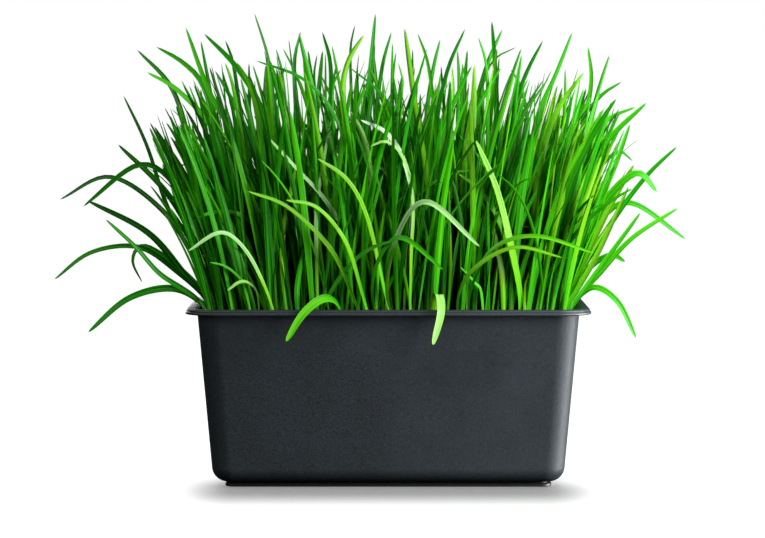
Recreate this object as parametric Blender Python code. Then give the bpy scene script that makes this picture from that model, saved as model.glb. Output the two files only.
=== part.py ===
"""Wheatgrass growing in a deep moulded planter tray.

The tray is one thin-walled plastic moulding with drafted walls, a flanged rim and a ribbed foot.
Potting soil fills it, and the sprouted seed lies on the soil as a mat of root clumps, each of which
holds a tuft of leaf blades. Metres, +Z up, origin under the middle of the tray on the surface that
it stands on, +X along its length, -Y towards the front.
"""

import math
import random

import bmesh
import bpy
from mathutils import Quaternion, Vector, noise
from mathutils.bvhtree import BVHTree

MM = 0.001

# Driving sizes of the tray
RIM_LENGTH = 250 * MM
RIM_DEPTH = 140 * MM
TRAY_HEIGHT = 111 * MM
WALL = 2 * MM
DRAFT = math.radians(5.0)

# Rim: a flat flange turned down into a beaded lip
FLANGE_OVERHANG = 7.4 * MM
LIP_DROP = 3.6 * MM
RIM_FILLET = 4.4 * MM

# Plan corners of the outer wall, at the rim and at the foot
CORNER_TOP = 14.1 * MM
CORNER_BASE = 12.5 * MM
CORNER_LEAST = 6.0 * MM
CORNER_STEPS = 5

# Base: rounded lower edge over a shallow foot, ribbed underneath
BASE_ROUND = 9.5 * MM
BASE_LIFT = 3.0 * MM
FOOT_INSET = 24.0 * MM
FLOOR = 2.4 * MM
POCKET_DEEP = 1.6 * MM
RIB = 6.0 * MM
ARC_STEPS = 5

# Filling
GAP = 0.3 * MM
SOIL_TOP = TRAY_HEIGHT - 20 * MM
SOIL_UNEVEN = 1.6 * MM
SOIL_LUMP = 16 * MM
SOIL_RINGS = (0.86, 0.66, 0.42, 0.18)
MAT_THICK = 6.0 * MM
MAT_TOP = SOIL_TOP + SOIL_UNEVEN + GAP + MAT_THICK
CLUMP_ROWS = (6, 5, 6)
CLUMP_GAP = 1.0 * MM
CLUMP_JITTER = 2.5 * MM
CORNER_CUT = 7.0 * MM

# Leaf blades: where they stand, and how each is made
SEED = 41
BLADES_PER_CLUMP = (6, 4)
ROOT_SUNK = 4.0 * MM
ROOT_MARGIN = 2.0 * MM
EDGE_MARGIN = 8.0 * MM
BLADE_THICK = 0.8 * MM
TIP_THICK = 0.62 * MM
BLADE_CLEARANCE = 0.25 * MM
MOST_TRIES = 60
SPINE_STEPS = 36
FEWEST_RINGS = 3
MOST_RINGS = 9
TURN_PER_RING = 0.36
TWIST_PER_RING = 1.1
RINGS_IF_STRAIGHT = 1.8

# Habit of the crowd: angles in radians, and the range that each blade's own value is drawn from
FAN_ALONG = (0.06, 0.24)
FAN_ACROSS = 0.14
STRAY_ALONG = 0.075
STRAY_ACROSS = 0.06
DROOPING_SHARE = 0.08
DROOPING_BOW = (1.1, 2.2)
DROOPING_LENGTH = (85 * MM, 150 * MM)
UPRIGHT_BOW = (0.05, 0.5)
UPRIGHT_LENGTH = (80 * MM, 188 * MM, 170 * MM)
LATE_BOW = (1.2, 2.4)
BLADE_WIDTH = (3.0 * MM, 4.6 * MM)
SWING = 0.35
ROLL = 1.3
TWIST = 0.9

# Outline of the crowd above the rim
CROWD_TOP = 168 * MM
CROWD_REACH = 175 * MM
CROWD_SPREAD = 38 * MM
CROWD_SLOPE = 0.45

# The blades that stand out past the crowd, one row each, in millimetres: where the root stands
# (x, y), how far forward or back the tip lies (y), the blade's width, its roll in degrees, and the
# points that it passes up to its tip, as seen from the front: how far along (x), and above the rim.
ARCHING_BLADES = (
    # Left side, lowest first
    (-104, -28, -36, 5.0, -60, ((-113, -1), (-133, 11), (-161, 5), (-186, -16))),
    (-103, -14, -24, 3.6, -65, ((-113, 2), (-130, 19), (-155, 36), (-185, 33), (-208, 16))),
    (-102, 4, 10, 4.6, -65, ((-112, 0), (-129, 18), (-152, 44), (-190, 64))),
    (-105, -46, -58, 3.6, -65, ((-117, 5), (-140, 21), (-155, 38), (-173, 55))),
    (-103, 30, 44, 3.8, -65, ((-120, 7), (-143, 27), (-158, 34), (-164, 24), (-158, 10))),
    (-97, 14, -10, 4.4, -60, ((-118, 40), (-135, 75), (-157, 87), (-191, 61))),
    (-100, -22, 26, 3.4, -80, ((-120, 25), (-141, 57), (-176, 79), (-209, 64))),
    (-98, 24, 30, 4.6, -65, ((-117, 26), (-140, 67), (-172, 99))),
    (-93, 42, 50, 3.0, -65, ((-118, 15), (-141, 57), (-155, 98), (-170, 130))),
    # Upper left
    (-93, 2, -8, 4.2, -75, ((-111, 50), (-125, 103), (-136, 136), (-157, 159))),
    (-72, -26, -38, 4.8, -65, ((-86, 50), (-104, 103), (-129, 133), (-149, 145))),
    (-80, 18, 24, 4.6, -70, ((-92, 40), (-107, 100), (-117, 136), (-130, 151), (-147, 161))),
    (-70, -8, 0, 4.0, -80, ((-82, 60), (-97, 105), (-112, 132), (-127, 173))),
    (-57, -18, -10, 4.6, -75, ((-66, 50), (-77, 115), (-93, 146), (-115, 169))),
    (-58, 4, 2, 2.6, -80, ((-64, 50), (-71, 118), (-75, 152), (-84, 182))),
    (-8, -38, -56, 3.4, -60, ((-17, 60), (-31, 114), (-51, 140), (-81, 152))),
    # Upper right
    (84, -12, -22, 3.8, 70, ((95, 40), (110, 97), (130, 128), (145, 139))),
    (90, 14, 10, 4.0, 70, ((102, 40), (118, 89), (137, 114), (156, 123))),
    (92, -24, -28, 4.8, 72, ((106, 40), (122, 82), (139, 106), (160, 126))),
    # Right side, highest first
    (100, 22, 30, 4.2, 76, ((114, 20), (129, 51), (143, 82), (154, 112))),
    (98, 40, 46, 3.8, 70, ((114, 30), (131, 76), (147, 94), (157, 88))),
    (102, -36, -38, 6.2, 66, ((116, 24), (132, 62), (153, 83), (166, 71))),
    (104, -4, 8, 3.8, 62, ((118, 14), (143, 54), (163, 80), (182, 98))),
    (100, 28, 20, 4.2, 70, ((117, 20), (135, 51), (155, 62), (189, 39))),
    (105, -18, -12, 3.6, 66, ((116, 2), (130, 17), (152, 41), (181, 60))),
    (103, -42, -34, 3.4, 70, ((116, 4), (128, 20), (156, 58))),
    (99, -50, -56, 3.6, 72, ((114, 8), (129, 35), (147, 75))),
    (104, 10, -2, 5.0, 70, ((115, 5), (127, 22), (140, 30), (149, 26))),
    (103, -28, -44, 4.2, 62, ((113, 0), (127, 12), (142, 3), (153, -19))),
    # Front face, left to right
    (-82, -54, -64, 2.2, -60, ((-88, 13), (-94, 22), (-101, 27), (-109, 29))),
    (-66, -53, -84, 3.2, -65, ((-76, 15), (-88, 38), (-102, 48), (-121, 37))),
    (-76, -53, -70, 2.8, -50, ((-80, 8), (-85, 16), (-91, 17), (-98, 12))),
    (-13, -50, -80, 3.6, -65, ((-21, 6), (-35, 37), (-61, 63), (-85, 73))),
    (-9, -54, -88, 3.6, -70, ((-16, 10), (-26, 42), (-43, 63), (-62, 68))),
    (-14, -47, -64, 3.4, -62, ((-19, 22), (-27, 48), (-41, 70), (-53, 83), (-74, 106))),
    (-26, -54, -84, 5.6, -50, ((-31, 3), (-40, 7), (-52, -2), (-62, -18))),
    (2, -52, -84, 3.8, -75, ((-3, 15), (-13, 57), (-25, 80), (-43, 93))),
    (-4, -55, -92, 3.6, 75, ((-10, 12), (-4, 35), (9, 45), (33, 26))),
    (8, -55, -92, 4.0, 75, ((-1, 10), (5, 45), (23, 67), (55, 40))),
    (9, -46, -70, 4.6, -85, ((12, 32), (15, 63), (10, 90), (-1, 108), (-17, 116))),
    (13, -55, -76, 3.0, -85, ((14, 32), (15, 67), (9, 93), (-1, 103), (-11, 100))),
    (27, -54, -84, 5.6, 8, ((29, 4), (31, 10), (32, -1), (27, -20))),
    (40, -54, -84, 3.0, 65, ((43, 8), (53, 26), (77, 39), (105, 33))),
    (50, -50, -90, 3.0, 65, ((50, 10), (63, 37), (89, 46), (124, 36))),
    (59, -55, -62, 2.4, -65, ((57, 10), (53, 16), (49, 21), (44, 26))),
    (73, -46, -50, 2.4, -50, ((71, 32), (66, 71), (57, 91), (51, 98), (43, 107))),
    (78, -50, -76, 5.2, -95, ((81, 8), (75, 39), (66, 74), (53, 104))),
    (70, -30, -36, 3.2, 60, ((75, 30), (82, 57), (104, 78), (134, 104))),
    # Back face, left to right
    (-84, 53, 84, 4.0, -45, ((-92, 15), (-101, 40), (-112, 48), (-126, 35))),
    (-52, 54, 86, 4.8, 45, ((-50, 12), (-42, 38), (-28, 46), (-4, 28))),
    (-30, 50, 82, 4.4, -45, ((-38, 12), (-50, 46), (-70, 66), (-96, 62))),
    (8, 54, 84, 5.4, -40, ((5, 4), (0, 9), (-8, -1), (-14, -18))),
    (22, 50, 84, 4.6, 45, ((30, 14), (42, 48), (60, 66), (84, 58))),
    (58, 54, 88, 4.6, -45, ((52, 12), (42, 40), (26, 50), (6, 38))),
    (80, 52, 82, 4.2, 45, ((88, 12), (98, 40), (114, 52), (134, 40))),
)

# The blades that draw the skyline and the front of the stand, in the same way, but with the angle
# from the tray's length to which their sides turn in place of the roll
UPRIGHT_BLADES = (
    # The skyline, left to right
    (-88, 20, 26, 3.4, 20, ((-98, 50), (-108, 105), (-114, 138), (-119, 165))),
    (-78, -6, -4, 3.6, 160, ((-84, 50), (-92, 115), (-97, 150), (-102, 165))),
    (-76, -30, -32, 3.6, 20, ((-84, 50), (-91, 105), (-96, 136), (-101, 151))),
    (-80, -38, -42, 3.4, -20, ((-88, 50), (-94, 110), (-98, 131), (-102, 144))),
    (-68, -46, -46, 4.4, 160, ((-71, 28), (-75, 66), (-78, 102), (-84, 134), (-93, 151))),
    (-50, 12, 16, 3.0, 20, ((-57, 50), (-63, 105), (-67, 144), (-71, 160))),
    (-34, -10, -6, 2.8, -20, ((-38, 50), (-48, 112), (-57, 142), (-66, 160))),
    (-66, -52, -50, 3.4, 20, ((-69, 32), (-68, 70), (-64, 101), (-64, 126), (-67, 147))),
    (-70, 10, 14, 3.2, -20, ((-73, 50), (-73, 112), (-70, 133), (-65, 149))),
    (-62, -40, -38, 3.8, 200, ((-66, 28), (-62, 62), (-57, 112), (-58, 150), (-54, 170))),
    (-44, -46, -44, 4.6, 15, ((-46, 12), (-43, 44), (-45, 90), (-46, 128), (-55, 169))),
    (-40, -30, -28, 2.8, -20, ((-42, 50), (-44, 118), (-46, 142), (-44, 156))),
    (-36, -20, -20, 4.0, 165, ((-37, 50), (-36, 118), (-36, 150), (-41, 170))),
    (-27, -40, -40, 3.0, 20, ((-31, 50), (-34, 112), (-34, 136), (-29, 147))),
    (-18, 22, 24, 2.8, -25, ((-22, 50), (-23, 118), (-24, 158), (-21, 175))),
    (-15, -44, -42, 4.8, 15, ((-18, 32), (-21, 79), (-28, 128), (-25, 151), (-15, 168))),
    (-12, 14, 12, 4.2, 200, ((-15, 50), (-14, 115), (-11, 150), (-8, 182))),
    (-6, -22, -22, 3.6, 20, ((-9, 50), (-8, 110), (-4, 147), (2, 170))),
    (6, 34, 38, 2.6, -20, ((8, 55), (6, 118), (3, 137), (5, 158))),
    (2, -34, -34, 2.6, 20, ((4, 55), (6, 118), (9, 138), (6, 151))),
    (21, -46, -44, 4.6, -15, ((24, 12), (27, 42), (24, 75), (17, 121), (10, 172))),
    (27, -36, -36, 3.2, 160, ((29, 32), (30, 98), (25, 147), (18, 169))),
    (20, 20, 24, 3.8, 20, ((22, 50), (24, 112), (28, 144), (33, 166))),
    (26, -6, -8, 3.6, -20, ((28, 50), (30, 110), (37, 146), (48, 172))),
    (40, -14, -14, 3.4, 20, ((43, 60), (44, 118), (44, 143), (43, 159))),
    (36, -40, -40, 3.2, 200, ((38, 50), (39, 118), (40, 135), (39, 149))),
    (33, -24, -30, 2.8, 30, ((28, 50), (12, 104), (-4, 131), (-24, 148))),
    (44, 28, 32, 2.4, -20, ((44, 60), (44, 118), (46, 139), (51, 154))),
    (47, -34, -34, 5.0, 10, ((50, 50), (52, 105), (53, 132), (53, 149))),
    (56, -14, -14, 3.0, 20, ((61, 60), (62, 122), (61, 150), (56, 167))),
    (60, 2, 4, 4.4, 160, ((66, 50), (68, 115), (67, 150), (65, 177))),
    (50, 14, 12, 4.2, 20, ((53, 50), (55, 112), (62, 148), (72, 172))),
    (52, 36, 40, 2.2, -20, ((56, 60), (58, 122), (66, 151), (82, 161))),
    (72, -14, -16, 2.8, 20, ((76, 60), (79, 118), (81, 140), (83, 156))),
    (66, 18, 20, 3.8, -20, ((70, 50), (77, 112), (87, 143), (98, 165))),
    (80, 30, 34, 3.6, 20, ((86, 50), (89, 108), (85, 134), (78, 147))),
    (68, -30, -32, 2.6, -20, ((73, 50), (82, 112), (90, 128), (99, 141))),
    (78, -6, -8, 3.8, 20, ((83, 50), (92, 112), (105, 144), (115, 170))),
    (86, -48, -46, 4.6, 15, ((88, 16), (90, 56), (93, 86), (102, 118), (120, 145))),
    (88, -18, -20, 3.0, -20, ((98, 50), (108, 105), (110, 130), (110, 147))),
    (92, 36, 40, 2.6, 20, ((102, 50), (112, 104), (116, 124), (120, 135))),
    (84, 10, 12, 4.0, 160, ((100, 40), (120, 100), (128, 137), (126, 161))),
    (89, -2, 2, 3.4, -20, ((106, 50), (123, 102), (132, 134), (139, 156))),
    # The front of the stand, left to right
    (-102, -48, -56, 2.6, 20, ((-104, 10), (-105, 19), (-108, 29), (-114, 33))),
    (-92, -44, -50, 2.4, 200, ((-96, 9), (-101, 18), (-106, 27))),
    (-78, -48, -50, 3.6, 25, ((-86, 14), (-94, 44), (-104, 69), (-120, 104))),
    (-74, -50, -52, 3.6, -20, ((-82, 26), (-92, 52), (-106, 80), (-124, 114))),
    (-61, -54, -54, 3.0, 15, ((-65, 22), (-65, 37), (-63, 57), (-52, 105))),
    (-55, -54, -56, 3.4, 20, ((-56, 8), (-55, 20), (-52, 33), (-47, 42))),
    (-46, -38, -40, 2.8, -20, ((-49, 50), (-52, 87), (-52, 101), (-57, 135))),
    (-42, -54, -54, 2.6, 20, ((-44, 32), (-44, 62), (-40, 89), (-35, 116))),
    (-35, -50, -50, 2.4, -20, ((-39, 13), (-41, 28), (-44, 51), (-50, 96))),
    (-35, -44, -44, 2.2, 10, ((-36, 32), (-36, 64), (-37, 81), (-40, 91))),
    (-33, -38, -38, 3.0, 20, ((-40, 32), (-47, 67), (-57, 93), (-64, 125))),
    (-22, -50, -50, 3.6, -25, ((-24, 32), (-28, 71), (-33, 96), (-41, 116))),
    (-8, -48, -49, 4.2, -15, ((-11, 32), (-12, 52), (-11, 81), (-15, 105), (-24, 122))),
    (-7, -42, -42, 2.6, 20, ((-9, 32), (-9, 67), (-9, 80), (-8, 92))),
    (-8, -54, -56, 2.4, 20, ((-6, 33), (-4, 50), (-1, 63), (7, 79))),
    (17, -52, -53, 3.2, -20, ((9, 22), (2, 49), (-5, 72), (-9, 88))),
    (18, -42, -42, 4.0, 20, ((18, 32), (17, 71), (16, 96), (17, 113))),
    (30, -48, -48, 3.4, 20, ((30, 23), (31, 41), (36, 61), (44, 92))),
    (37, -54, -54, 2.2, -20, ((38, 23), (37, 63), (37, 83), (34, 96))),
    (43, -44, -44, 4.8, 15, ((45, 32), (46, 71), (48, 99), (50, 120))),
    (61, -50, -50, 2.8, -20, ((64, 11), (68, 28), (72, 58), (80, 89))),
    (66, -38, -38, 4.8, 20, ((68, 33), (72, 64), (79, 89), (89, 108))),
    (71, -54, -56, 3.6, 15, ((70, 19), (67, 37), (63, 52), (57, 67))),
    (80, -48, -48, 2.2, -20, ((83, 20), (86, 33), (87, 42))),
    (84, -54, -55, 2.2, 10, ((84, 11), (86, 22))),
    (90, -42, -44, 3.2, 20, ((94, 11), (98, 37), (105, 68), (112, 98))),
    (94, -48, -50, 3.4, -15, ((97, 13), (99, 31), (105, 70), (115, 101))),
    (98, -54, -56, 3.2, -20, ((104, 19), (108, 41), (114, 64), (122, 86))),
    (103, -46, -48, 3.6, 15, ((107, 15), (110, 39), (115, 62), (126, 93))),
)

# How far a listed blade is moved forward or back, in millimetres, where another one is in its way
NUDGES = (0, 1.5, -1.5, 3, -3, 4.5, -4.5, 6, -6, 8, -8)


def clear_scene():
    for obj in list(bpy.data.objects):
        bpy.data.objects.remove(obj, do_unlink=True)


def finish(name, colour, roughness, metallic=0.0):
    material = bpy.data.materials.new(name)
    material.use_nodes = True
    shader = material.node_tree.nodes["Principled BSDF"]
    shader.inputs["Base Color"].default_value = (*colour, 1)
    shader.inputs["Roughness"].default_value = roughness
    shader.inputs["Metallic"].default_value = metallic
    return material


def object_from(bm, name, material):
    """Turns a bmesh into a named object in the scene, shaded smooth but for its sharp edges."""
    mesh = bpy.data.meshes.new(name)
    bm.to_mesh(mesh)
    bm.free()
    mesh.materials.append(material)
    mesh.shade_smooth()
    mesh.set_sharp_from_angle(angle=math.radians(35))
    obj = bpy.data.objects.new(name, mesh)
    bpy.context.scene.collection.objects.link(obj)
    return obj


def apply_modifiers(obj):
    graph = bpy.context.evaluated_depsgraph_get()
    made = bpy.data.meshes.new_from_object(obj.evaluated_get(graph))
    obj.modifiers.clear()
    obj.data = made


# Tray profile. A point of it is (inset, z): inset is measured in from the rim's outer edge.


def wall_inset(z):
    """Where the drafted outer wall stands at height z."""
    return FLANGE_OVERHANG + (TRAY_HEIGHT - LIP_DROP - z) * math.tan(DRAFT)


def corner_radius(inset, z):
    """Plan corner at a profile point: the wall's own at that height, grown or shrunk by the offset."""
    wall = CORNER_BASE + (CORNER_TOP - CORNER_BASE) * z / TRAY_HEIGHT
    return max(CORNER_LEAST, wall + wall_inset(z) - inset)


def base_round(radius, inset_gap, bottom):
    """The rounded edge between a drafted wall and a floor at height bottom, floor end first."""
    centre_z = bottom + radius
    tangent_z = centre_z - radius * math.sin(DRAFT)
    centre_inset = wall_inset(tangent_z) + inset_gap + radius * math.cos(DRAFT)
    points = []
    for step in range(ARC_STEPS + 1):
        turn = (math.pi / 2 - DRAFT) * step / ARC_STEPS
        points.append((centre_inset - radius * math.sin(turn), centre_z - radius * math.cos(turn)))
    return points


def foot_profile():
    """The shallow foot, from under the tray out to the start of the rounded lower edge."""
    ledge = 0.6 * MM
    return [
        (FOOT_INSET + 0.4 * MM, 0.0),
        (FOOT_INSET, 0.4 * MM),
        (FOOT_INSET, BASE_LIFT - 1.3 * MM),
        (FOOT_INSET + ledge, BASE_LIFT - 0.7 * MM),
        (FOOT_INSET + 3 * ledge, BASE_LIFT - 0.7 * MM),
        (FOOT_INSET + 3 * ledge, BASE_LIFT),
    ]


def rim_profile():
    """Under the flange, round the beaded lip and over the top, ending where the inner fillet starts."""
    top = TRAY_HEIGHT
    under = top - 2 * MM
    return [
        (wall_inset(under - 1.2 * MM), under - 1.2 * MM),
        (wall_inset(under) - 0.4 * MM, under - 0.3 * MM),
        (wall_inset(under) - 1.5 * MM, under),
        (2.0 * MM, under),
        (1.7 * MM, top - LIP_DROP),
        (0.5 * MM, top - LIP_DROP),
        (0.0, top - 3.0 * MM),
        (0.1 * MM, top - 2.2 * MM),
        (0.8 * MM, top - 1.8 * MM),
        (0.7 * MM, top - 1.1 * MM),
        (1.1 * MM, top - 0.4 * MM),
        (1.9 * MM, top - 0.1 * MM),
        (3.2 * MM, top),
    ]


def inner_profile(gap=0.0, top=TRAY_HEIGHT):
    """The inside, from the rim's fillet down to the floor, drawn in by gap. It starts below top."""
    fillet_z = TRAY_HEIGHT - RIM_FILLET
    wall = wall_inset(fillet_z) + WALL + gap
    points = []
    for step in range(ARC_STEPS):
        turn = math.pi / 2 * step / ARC_STEPS
        inset = wall - RIM_FILLET + RIM_FILLET * math.sin(turn)
        points.append((inset, fillet_z + RIM_FILLET * math.cos(turn)))
    if top < fillet_z:
        points = [(wall_inset(top) + WALL + gap, top)]
    else:
        points.append((wall, fillet_z))
    arc = base_round(BASE_ROUND - WALL - gap, WALL + gap, BASE_LIFT - 0.6 * MM + FLOOR + gap)
    return points + arc[::-1]


def ring(half_x, half_y, corner, z, centre=(0.0, 0.0), steps=CORNER_STEPS):
    """The corner points of a level rounded rectangle, anticlockwise from above."""
    points = []
    sides = ((1, 1), (-1, 1), (-1, -1), (1, -1))
    for quarter, (side_x, side_y) in enumerate(sides):
        for step in range(steps + 1):
            turn = math.pi / 2 * (quarter + step / steps)
            x = centre[0] + side_x * (half_x - corner) + corner * math.cos(turn)
            y = centre[1] + side_y * (half_y - corner) + corner * math.sin(turn)
            points.append(Vector((x, y, z)))
    return points


def tray_ring(inset, z):
    return ring(RIM_LENGTH / 2 - inset, RIM_DEPTH / 2 - inset, corner_radius(inset, z), z)


def loft(rings):
    """A closed bmesh skinned over level rings: upwards outside, downwards inside, capped at each end."""
    bm = bmesh.new()
    loops = [[bm.verts.new(point) for point in points] for points in rings]
    for lower, upper in zip(loops, loops[1:]):
        for i in range(len(lower)):
            j = (i + 1) % len(lower)
            bm.faces.new((lower[i], lower[j], upper[j], upper[i]))
    bm.faces.new(loops[0][::-1])
    bm.faces.new(loops[-1])
    bmesh.ops.recalc_face_normals(bm, faces=bm.faces)
    return bm


def build_tray(material):
    outside = foot_profile() + base_round(BASE_ROUND, 0.0, BASE_LIFT) + rim_profile()
    tray = object_from(loft([tray_ring(*p) for p in outside + inner_profile()]), "tray", material)

    # Four pockets in the foot leave a rim and a cross of ribs for it to stand on
    pockets = bmesh.new()
    half_x = RIM_LENGTH / 2 - FOOT_INSET - RIB
    half_y = RIM_DEPTH / 2 - FOOT_INSET - RIB
    size_x = (half_x - RIB / 2) / 2
    size_y = (half_y - RIB / 2) / 2
    for side_x in (-1, 1):
        for side_y in (-1, 1):
            centre = (side_x * (half_x - size_x), side_y * (half_y - size_y))
            low = ring(size_x, size_y, 4 * MM, -1 * MM, centre, 2)
            high = ring(size_x, size_y, 4 * MM, POCKET_DEEP, centre, 2)
            pocket = loft([low, high])
            pocket_mesh = bpy.data.meshes.new("pocket")
            pocket.to_mesh(pocket_mesh)
            pocket.free()
            pockets.from_mesh(pocket_mesh)
            bpy.data.meshes.remove(pocket_mesh)
    cutter = object_from(pockets, "foot_pockets", material)
    cutter.hide_render = True
    cutter.display_type = "WIRE"
    cut = tray.modifiers.new("foot_pockets", "BOOLEAN")
    cut.operation = "DIFFERENCE"
    cut.object = cutter
    return tray


def build_soil(material):
    """Potting soil, pressed to the walls and a little uneven on top."""
    rings = [tray_ring(*p) for p in inner_profile(gap=GAP, top=SOIL_TOP)[::-1]]
    edge = rings[-1]
    for share in SOIL_RINGS:
        rings.append([Vector((p.x * share, p.y * share, p.z)) for p in edge])
    for points in rings[-len(SOIL_RINGS) - 1 :]:
        for point in points:
            lump = noise.noise(Vector((point.x, point.y, 0.0)) / SOIL_LUMP)
            point.z = SOIL_TOP + SOIL_UNEVEN * max(-1.0, min(1.0, lump))
    object_from(loft(rings), "soil", material)


# Leaf blades. A spine is a list of points from the root to the tip.


def grown_spine(root, heading, lean, bow, late, swing, length):
    """A spine that leaves its root leaning, bows further over as it rises and swings sideways."""
    points = [Vector(root)]
    for step in range(SPINE_STEPS):
        share = (step + 0.5) / SPINE_STEPS
        tilt = lean + bow * share**late
        turn = heading + swing * share
        direction = Vector(
            (math.sin(tilt) * math.cos(turn), math.sin(tilt) * math.sin(turn), math.cos(tilt))
        )
        points.append(points[-1] + direction * (length / SPINE_STEPS))
    return points


def even_spine(points):
    """The same curve, with its points spaced evenly along it."""
    run = [0.0]
    for a, b in zip(points, points[1:]):
        run.append(run[-1] + (b - a).length)
    even, i = [], 0
    for step in range(SPINE_STEPS + 1):
        target = run[-1] * step / SPINE_STEPS
        while i < len(points) - 2 and run[i + 1] < target:
            i += 1
        share = (target - run[i]) / (run[i + 1] - run[i])
        even.append(points[i].lerp(points[i + 1], share))
    return even


def routed_spine(root, tip_y, waypoints):
    """A spine along a smooth curve through its root and waypoints; y runs from the root's to tip_y."""
    knots = [(root.x, root.z)] + [(x * MM, TRAY_HEIGHT + up * MM) for x, up in waypoints]
    first, last = knots[0], knots[-1]
    before = (2 * first[0] - knots[1][0], 2 * first[1] - knots[1][1])
    after = (2 * last[0] - knots[-2][0], 2 * last[1] - knots[-2][1])
    knots = [before] + knots + [after]
    spans = len(knots) - 3
    steps = 16 * spans
    points = []
    for step in range(steps + 1):
        span = min(step // 16, spans - 1)
        t = step / 16 - span
        a, b, c, d = knots[span : span + 4]
        flat = []
        for k in (0, 1):
            slope_in, slope_out = (c[k] - a[k]) / 2, (d[k] - b[k]) / 2
            rise = c[k] - b[k]
            cubic = slope_in + slope_out - 2 * rise
            square = 3 * rise - 2 * slope_in - slope_out
            flat.append(b[k] + slope_in * t + square * t**2 + cubic * t**3)
        y = root.y + (tip_y - root.y) * step / steps
        points.append(Vector((flat[0], y, flat[1])))
    return even_spine(points)


def stations_along(blade):
    """Where a blade's rings go: more of them, and closer, where it turns or twists more."""
    spine, _, _, twist = blade
    directions = [(b - a).normalized() for a, b in zip(spine, spine[1:])]
    turns = [0.0] + [a.angle(b) for a, b in zip(directions, directions[1:])]
    base = (abs(twist) / TWIST_PER_RING + RINGS_IF_STRAIGHT) / SPINE_STEPS
    need = [turn / TURN_PER_RING + base for turn in turns]
    rings = max(FEWEST_RINGS, min(MOST_RINGS, round(sum(need))))
    stations, gathered = [0.0], 0.0
    for i, amount in enumerate(need):
        while len(stations) < rings and gathered + amount > len(stations) / rings * sum(need):
            part = (len(stations) / rings * sum(need) - gathered) / amount
            stations.append((i + part) / SPINE_STEPS)
        gathered += amount
    return stations


def blade_width(share):
    """How wide a blade is along its length, as a share of its full width: slim foot, sword tip."""
    foot = 0.42 + 0.58 * min(1.0, share / 0.4) ** 0.9
    along_tip = max(0.0, (share - 0.5) / 0.5)
    taper = (1.0 - 0.35 * along_tip) * (1.0 - along_tip**8) ** 0.5
    return foot * taper


def blade_frames(spine, roll, twist):
    """Side vectors along a spine, carried without twisting, then rolled and twisted evenly."""
    directions = [(b - a).normalized() for a, b in zip(spine, spine[1:])]
    directions.append(directions[-1])
    across = spine[-1] - spine[0]
    side = Vector((-across.y, across.x, 0.0))
    if side.length < 1e-6:
        side = Vector((1.0, 0.0, 0.0))
    side = (side - directions[0] * side.dot(directions[0])).normalized()
    frames = []
    for i, direction in enumerate(directions):
        if i:
            side = directions[i - 1].rotation_difference(direction) @ side
        turn = roll + twist * i / SPINE_STEPS
        frames.append((direction, Quaternion(direction, turn) @ side))
    return frames


def blade_shell(blade, stations, extra=0.0):
    """Points and triangles of a keeled blade: three-sided rings at the stations, closed to a tip."""
    spine, width, roll, twist = blade
    frames = blade_frames(spine, roll, twist)
    points, faces = [], []
    for share in stations:
        place = min(share * SPINE_STEPS, SPINE_STEPS - 1e-9)
        i = int(place)
        centre = spine[i].lerp(spine[i + 1], place - i)
        direction, side = frames[i]
        half = (width * blade_width(share)) / 2 + extra
        thick = BLADE_THICK + (TIP_THICK - BLADE_THICK) * share + extra
        keel = direction.cross(side) * thick
        points += [centre + side * half, centre - side * half, centre - keel]
    # Both faces split along the same diagonal, the one that the twist pushes outwards
    near, far = (1, 0) if twist > 0 else (0, 1)
    for r in range(len(stations) - 1):
        a, b, keel = 3 * r + near, 3 * r + far, 3 * r + 2
        faces += [(b, a, b + 3), (a, a + 3, b + 3)]
        faces += [(a, keel, keel + 3), (a, keel + 3, a + 3)]
        faces += [(keel, b, b + 3), (keel, b + 3, keel + 3)]
    top = 3 * (len(stations) - 1)
    points.append(spine[-1])
    faces += [(top + far, top + near, top + 3), (top + near, top + 2, top + 3)]
    faces += [(top + 2, top + far, top + 3), (2, near, far)]
    if twist > 0:
        faces = [face[::-1] for face in faces]
    return points, faces


def fits_among(blade, stations, neighbours):
    """A blade's box and surface if, grown by its clearance, it is clear of all that stands there."""
    points, faces = blade_shell(blade, stations, extra=BLADE_CLEARANCE)
    low = [min(p[k] for p in points) for k in range(3)]
    high = [max(p[k] for p in points) for k in range(3)]
    tree = BVHTree.FromPolygons(points, faces)
    for other_low, other_high, other in neighbours:
        apart = any(low[k] > other_high[k] or high[k] < other_low[k] for k in range(3))
        if not apart and tree.overlap(other):
            return None
    return low, high, tree


def clump_quads():
    """Four corners for each root clump: rows across the soil, their joints staggered and a little askew."""
    draw = random.Random(SEED)
    inset = wall_inset(MAT_TOP) + WALL + 0.6 * MM
    half_x, half_y = RIM_LENGTH / 2 - inset, RIM_DEPTH / 2 - inset
    rows = len(CLUMP_ROWS)
    slopes = [0.0] + [draw.uniform(-0.03, 0.03) for _ in range(rows - 1)] + [0.0]
    quads = {}
    for row, count in enumerate(CLUMP_ROWS):
        joints = []
        for k in range(count + 1):
            x = half_x * (2 * k / count - 1)
            inside = 0 < k < count
            low = x + draw.uniform(-1, 1) * CLUMP_JITTER * inside
            high = x + draw.uniform(-1, 1) * CLUMP_JITTER * inside
            y_low = half_y * (2 * row / rows - 1) + slopes[row] * low
            y_high = half_y * (2 * (row + 1) / rows - 1) + slopes[row + 1] * high
            joints.append((Vector((low, y_low, 0.0)), Vector((high, y_high, 0.0))))
        for k in range(count):
            left, right = joints[k], joints[k + 1]
            quads[row, k] = (left[0], right[0], right[1], left[1])
    return quads


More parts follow.
